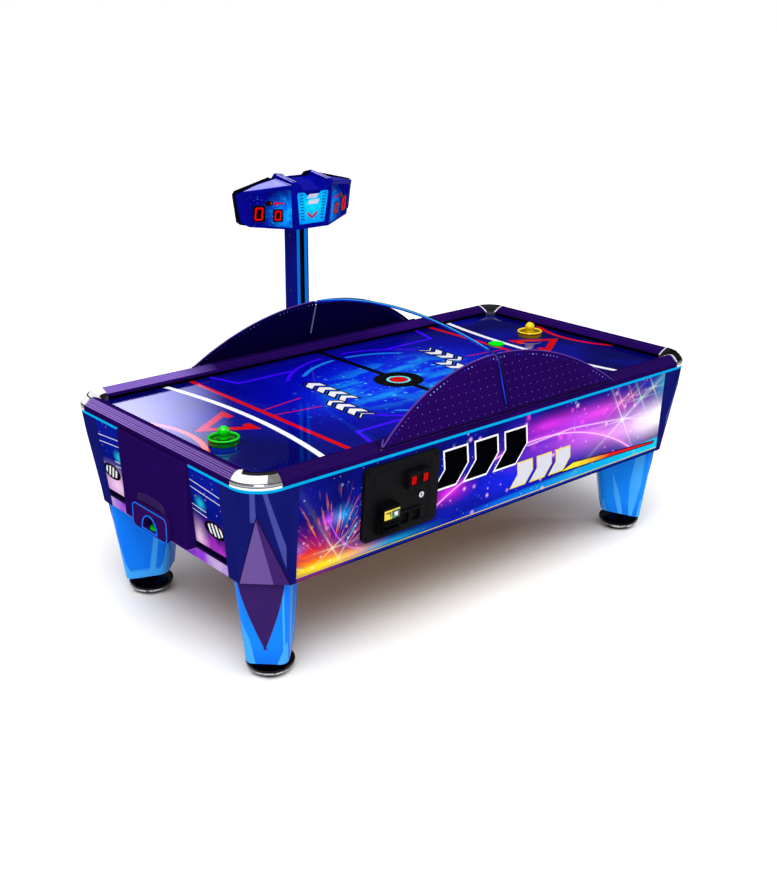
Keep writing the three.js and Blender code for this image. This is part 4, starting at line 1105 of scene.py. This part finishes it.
def make_goal_trim():
    """Grip ribs over each puck return, its lit outline and its mouth's rim."""
    rib = gloss("grip_rib", rgb(70, 50, 104), 0.3)
    line = lamp("return_outline", rgb(20, 130, 255), 0.7, rgb(10, 60, 160))
    inset = gloss("return_inset", rgb(86, 18, 70), 0.35)
    shares = [step / 6 - 1 for step in range(13)]
    half_turn = [step / 12 * math.pi for step in range(13)]

    def arch(half):
        curve = [(half * math.cos(turn), half * math.sin(turn) - 30) for turn in half_turn]
        return [(-half, 16.5 - half), (half, 16.5 - half)] + curve

    for name, side in ENDS.items():
        for i in range(5):
            path = []
            for share in shares:
                z = 574 + 7 * i + (10 + 3 * i) * (1 - share**2) * 0.55
                face = 1250.6 + (z - 478) * 12 / 351
                path.append((side * face, (112 - 4 * i) * share - side * 12, z))
            rod(f"grip_rib_{name}_{i}", path, 1.5, rib, sides=6)
        matrix = local_frame(at(side * 1272, 0, 520), (0, side, 0), (0, 0, 1))
        for label, material, half_x, half_z, width in (
            ("return_outline_", line, 129, 51, 4.0),
            ("return_inset_", inset, 119, 41, 1.4),
        ):
            outer = rounded(half_x, half_z, 25, 5)
            inner = rounded(half_x - width, half_z - width, 25 - width, 5)
            ring_piece(label + name, outer, inner, 0.2, 1.4, material, matrix)
        ring_piece("return_rim_" + name, arch(56.5), arch(52.5), 0.2, 3.0, line, matrix)


# ---------- score head and post ----------


# Heights of a panel over the plane through its face's corners.
PANEL_LOW = -3.9
PANEL_HIGH = -2.4

# The six bars of a nought, as shares of its half width and half height.
SEGMENTS = (
    ((-1, 1), (1, 1)),
    ((-1, -1), (1, -1)),
    ((-1, 0.08), (-1, 0.92)),
    ((1, 0.08), (1, 0.92)),
    ((-1, -0.92), (-1, -0.08)),
    ((1, -0.92), (1, -0.08)),
)


def face_point(face, u, v):
    a, b, c, d = (Vector(corner) for corner in face)
    return a.lerp(b, u).lerp(d.lerp(c, u), v)


def panel_art(name, burst_at, centre_tint, edge_tint, reach):
    """Printed display panel with a bright burst; x and y are the panel's own."""
    paint = Paint(name, local=True)
    x, y = paint.x, paint.y
    burst = paint.distance(x, y, burst_at, (1.15, 1))
    soft = burst.ramp(reach * 1.2, 0).power(1.5)
    flat = paint.vector(x * 0.001, y * 0.001)
    wisps = paint.noise(0.03, 5, vector=flat).ramp(0.4, 0.75)
    turn = paint.math("ARCTAN2", y - burst_at[1], x - burst_at[0])
    rays = paint.noise(1.0, 2, (6, 0.01, 1), paint.vector(turn, burst)).ramp(0.5, 0.75)
    paint.start(edge_tint, centre_tint, soft)
    paint.light(rgb(0, 190, 255), soft * wisps * 0.8)
    paint.light(rgb(40, 200, 255), rays * soft * 0.5)
    paint.stars(x, y, rgb(150, 230, 255), 17, 2.4, 0.4, 0.9)
    drift = paint.noise(30, 2)
    # Painted glow: the print gives off a faint light in its own colours.
    return paint.lacquer(drift, 0.14, 3, 0.01, Emission_Color=paint.colour, Emission_Strength=0.4)


def zero_digit(name, centre, half_x, half_y, stroke, looks, matrix):
    """A lit nought made of six leaning bars on a black window."""
    outline = rounded(half_x + stroke * 1.9, half_y + stroke * 1.7, stroke, 3, centre)
    prism(name + "_window", outline, 0.2, 1.6, looks["window"], matrix)
    middle = Vector(centre)
    bars = []
    for ends in SEGMENTS:
        start, end = (Vector((x * half_x + y * half_y * 0.1, y * half_y)) + middle for x, y in ends)
        flat = ends[0][1] == ends[1][1]
        along = (end - start).normalized()
        aside = Vector((-along.y, along.x)) * stroke / 2
        start += along * stroke * 0.55 * flat
        end -= along * stroke * 0.55 * flat
        tip = along * stroke / 2
        bars.append([start - tip, start - aside, end - aside, end + tip, end + aside, start + aside])
    prisms(name + "_bars", bars, 1.8, 3.0, looks["lit"], matrix)


def panel_matrix(face):
    middle = face_point(face, 0.5, 0.5)
    across = face_point(face, 1, 0.5) - face_point(face, 0, 0.5)
    up = face_point(face, 0.5, 1) - face_point(face, 0.5, 0)
    return local_frame(at(*middle), across, up)


def on_panel(face, matrix, corners):
    """Corner shares of a face turned into the panel's own x and y."""
    inverse = matrix.inverted()
    return [tuple((inverse @ at(*face_point(face, u, v))).xy / MM) for u, v in corners]


def mirrored(points):
    return [(-point[0], *point[1:]) for point in points]


def make_head_centre(looks):
    """Middle panel with its two columns of dashes, chevron and two slanted bars."""
    low_left, high_left = mirrored((HEAD_RIDGE_LOW, HEAD_RIDGE_HIGH))
    face = (low_left, HEAD_RIDGE_LOW, HEAD_RIDGE_HIGH, high_left)
    matrix = panel_matrix(face)
    corners = [(0.135, 0.105), (0.865, 0.105), (0.922, 0.77), (0.9, 0.81), (0.73, 0.81), (0.66, 0.735)]
    corners += [(1 - u, v) for u, v in reversed(corners)]
    art = panel_art("centre_panel", (0, 6), rgb(0, 196, 248), rgb(0, 74, 222), 150)
    prism("head_panel_centre", on_panel(face, matrix, corners), PANEL_LOW, PANEL_HIGH, art, matrix)
    lift = matrix @ Matrix.Translation((0, 0, PANEL_HIGH * MM))
    for label, side in ENDS.items():
        dashes = []
        for i in range(9):
            for shift, half in ((-5, 3.5), (5, 4)):
                x, y = side * (55 + i * 1.5) + shift, i * 14.5 - 62
                quad = ((-half, -2.4), (half, -2.4), (half + 1, 2.4), (1 - half, 2.4))
                dashes.append([(x + dx, y + dy) for dx, dy in quad])
        prisms(f"head_scale_{label}", dashes, 0.1, 0.9, looks["dark"], lift)
    chevron = [(-30, -38), (0, -62), (30, -38), (26, -28), (0, -50), (-26, -28)]
    prism("head_chevron", chevron, 0.1, 1.2, looks["mark"], lift)
    for i, colour in enumerate((rgb(226, 226, 240), rgb(244, 236, 244))):
        bar = [(x + 6 * i, y - 28 * i) for x, y in ((-34, 36), (22, 36), (34, 56), (-22, 56))]
        prism(f"head_mark_{i}", bar, 0.1, 1.2, gloss(f"head_mark_{i}", colour, 0.3), lift)


def make_head_wing(label, out, looks):
    """A side panel with two noughts, a small window, an arrow, a grille and four screws."""
    face = (HEAD_RIDGE_LOW, HEAD_TIP_LOW, HEAD_TIP_HIGH, HEAD_RIDGE_HIGH)
    corners = [(0.065, 0.045), (0.935, 0.045), (0.935, 0.905), (0.065, 0.905)]
    if out < 0:
        low, far_low, far_high, high = mirrored(face)
        face = (far_low, low, high, far_high)
        corners = [(0.075, 0.065), (0.935, 0.045), (0.935, 0.915), (0.075, 0.895)]
    matrix = panel_matrix(face)
    art = panel_art(f"wing_panel_{label}", (-out * 104, -30), rgb(0, 110, 250), rgb(4, 4, 116), 112)
    prism(f"head_panel_{label}", on_panel(face, matrix, corners), PANEL_LOW, PANEL_HIGH, art, matrix)
    lift = matrix @ Matrix.Translation((0, 0, PANEL_HIGH * MM))
    zero_digit(f"digit_large_{label}", (out * 52, -22), 15.5, 27, 7, looks, lift)
    zero_digit(f"digit_small_{label}", (-out * 36, -34), 12, 20, 6, looks, lift)
    window = rounded(17, 11, 2, 2, (out * 5, 26))
    prism(f"display_small_{label}", window, 0.1, 1.4, looks["window"], lift)
    cell = [(out * 5 + x, y) for x, y in ((9, 19), (12, 19), (12, 33), (9, 33))]
    prism(f"display_bar_{label}", cell, 1.5, 2.2, looks["lit"], lift)
    arrow = [(-6, 0), (8, 11), (8, 3), (44, 3), (44, -4), (8, -4), (8, -12)]
    arrow = [(-out * (x + 22), y + 24) for x, y in arrow]
    prism(f"arrow_{label}", arrow[::-out], 0.1, 1.2, looks["mark"], lift)
    dots = [
        circle(2.5, 8, (-out * (76 - column * 12 + (row % 2) * 6), 62 + row * 9 - column))
        for row in range(3)
        for column in range(8)
    ]
    prisms(f"head_grille_{label}", dots, 0.1, 0.7, looks["dark"], lift)
    for i, centre in enumerate(((-92, -76), (92, -74), (92, 70), (-88, 66))):
        prism(f"head_screw_{label}_{i}", circle(3, 10, centre), 0.1, 1.8, looks["screw"], lift, bevel=0.5)


def make_head_shell():
    """Dark band round the back of the head, and pale rods that are painted highlights along its top ridges.
    """
    back = gloss("head_back", rgb(6, 8, 26), 0.3, 0.02)
    half = [(110, 1429), (308, 1466), (328, 1482), (347, 1612), (334, 1628), (144, 1674)]
    half += [(129, 1662), (108, 1688), (66, 1684), (46, 1666)]
    outline = [(0, 1429), *half] + mirrored(reversed(half))
    matrix = local_frame(at(0, 754, 0), (1, 0, 0), (0, 0, 1))
    prism("head_back_shell", outline, -16, 0, back, matrix, bevel=3)
    # Painted highlights: pale rods along the top ridges.
    shine = gloss("ridge_shine", rgb(196, 194, 250), 0.25)
    for label, side in ENDS.items():
        for name, x, low, high in (
            (f"ridge_shine_{label}_0", 92.5, 1662.5, 1684.5),
            (f"ridge_shine_{label}_1", 109.5, 1662.5, 1684.5),
            (f"ridge_glint_{label}", 121, 1650.5, 1664),
        ):
            rod(name, [(side * x, 618, low), (side * x, 744, high)], 2.2, shine)


def make_post_trim(screw):
    strip = lamp("post_strip", rgb(4, 128, 250), 0.85, rgb(2, 20, 60))
    low, high = 905, 1434
    outline = rounded(8.4, (high - low) / 2, 2, 3)
    for label, side in ENDS.items():
        matrix = local_frame(at(side * 22, POST_FRONT + 2.9, (low + high) / 2), (1, 0, 0), (0, 0, 1))
        prism(f"post_strip_{label}", outline, 0, 2.6, strip, matrix, bevel=0.6)
    for i, z in enumerate((1390, 1120, 950)):
        matrix = local_frame(at(-40, 742, z), (0, -1, 0), (0, 0, 1))
        prism(f"post_screw_{i}", rounded(6, 6, 5.9, 4), 0, 2.2, screw, matrix, bevel=0.8)


def make_score_head():
    looks = {
        "window": gloss("display_black", rgb(2, 2, 4), 0.2, specular=0.03),
        "lit": lamp("digit_red", rgb(255, 2, 2), 1.2, rgb(60, 0, 0)),
        "mark": gloss("panel_red", rgb(225, 10, 14), 0.3),
        "dark": gloss("panel_dots", rgb(4, 6, 40), 0.3),
        "screw": metal("screw_black", rgb(30, 30, 34), 0.3),
    }
    make_head_centre(looks)
    for label, out in ENDS.items():
        make_head_wing(label, out, looks)
    make_head_shell()
    make_post_trim(looks["screw"])


def make_guard_trim():
    """A pale strip on the inner face of each guard and the lit line along the overhead bar."""
    pale = gloss("guard_strip", rgb(150, 150, 172), 0.25)
    lean, up = math.sin(GUARD_LEAN), math.cos(GUARD_LEAN)
    y, z = GUARD_FOOT_Y - 140 * lean, GUARD_BASE_Z + 140 * up
    for label, side in (("front", -1), ("back", 1)):
        matrix = local_frame(at(0, side * y, z), (side, 0, 0), (0, side * -lean, up))
        prism(f"guard_strip_{label}", rounded(3.5, 74, 3, 3), 0.2, 2.4, pale, matrix, bevel=0.5)
    glow_line = lamp("bar_light", rgb(60, 200, 255), 0.8, rgb(10, 60, 120))
    top, foot, half = 1164, 1083.4, 608
    radius = (half**2 + (top - foot) ** 2) / (2 * (top - foot))
    path = []
    for i in range(25):
        y = (i / 12 - 1) * 560
        path.append((-5.2, y, top - radius + math.sqrt(radius**2 - y**2) + 3.4))
    rod("bar_light_line", path, 2.0, glow_line, sides=6)


def coin_frame_matrix():
    """Frame on the coin door's middle: x along the cabinet, y up and z out of it."""
    x, z = -565, 651
    face = CABINET_CORNER[1] - (CABINET_TOP - z) * TAPER[1] - 2
    matrix = Matrix.Rotation(math.atan(TAPER[1]), 4, "X") @ Matrix.Rotation(math.pi / 2, 4, "X")
    matrix.translation = at(x, -face, z)
    return matrix


def label_material():
    """Plain blocks of yellow, green and white with a dark hook."""
    paint = Paint("acceptor_label", local=True)
    x, y = paint.x, paint.y
    paint.start(rgb(16, 60, 40), rgb(232, 206, 30), x.under(-78) | y.over(-26))
    paint.lay(rgb(12, 12, 14), paint.to_path(x, y, [(-104, -32), (-84, -32), (-84, -46)]).under(3))
    paint.lay(rgb(226, 228, 230), x.between(-66, -48) & y.between(-52, -34))
    paint.lay(rgb(30, 150, 80), x.between(-76, -60) & y.between(-60, -46))
    return paint.lacquer(paint.noise(20, 2), 0.3, 3, 0.01, 0.1, specular=0.5)


def make_coin_trim():
    """Label, lips, grooves and screws of the coin door."""
    matrix = coin_frame_matrix()
    label = label_material()
    lip = gloss("acceptor_lip", rgb(16, 16, 19), 0.3)
    groove = gloss("door_groove", rgb(26, 26, 31), 0.35)
    bolt = gloss("frame_bolt", rgb(20, 20, 24), 0.3)
    for name, outline, low, high, material, bevel in (
        ("acceptor_label", rounded(38, 19, 3, 3, (-76, -40)), 52.2, 53.2, label, 0),
        ("acceptor_lip_top", rounded(40, 3, 2, 3, (-76, -82)), 52.2, 60, lip, 1),
        ("acceptor_lip_low", rounded(40, 5, 2, 3, (-76, -103)), 52.2, 64, lip, 1),
    ):
        prism(name, outline, low, high, material, matrix, body="coin_door", bevel=bevel)
    outer, inner = rounded(138, 123, 6, 4), rounded(136.4, 121.4, 4.4, 4)
    ring_piece("door_line", outer, inner, 16.2, 16.8, groove, matrix, "coin_door")
    for i, x in enumerate((40, 100)):
        outer, inner = rounded(19, 23, 3, 3, (x, 60)), rounded(15.4, 19.4, 1.5, 3, (x, 60))
        ring_piece(f"button_rim_{i}", outer, inner, 40.2, 41.6, groove, matrix, "coin_door")
    for i, (x, y) in enumerate(((-168, -132), (168, -132), (168, 132), (-168, 132))):
        prism(f"frame_bolt_{i}", rounded(5, 5, 4.9, 3, (x, y)), 17.2, 19.5, bolt, matrix, bevel=0.8)


make_camera()
make_floor()
make_world()
make_lights()
dress_nodes()
make_leg_trims()
make_corner_seams()
make_goal_trim()
make_score_head()
make_guard_trim()
make_coin_trim()
bpy.context.scene.view_settings.view_transform = "Standard"
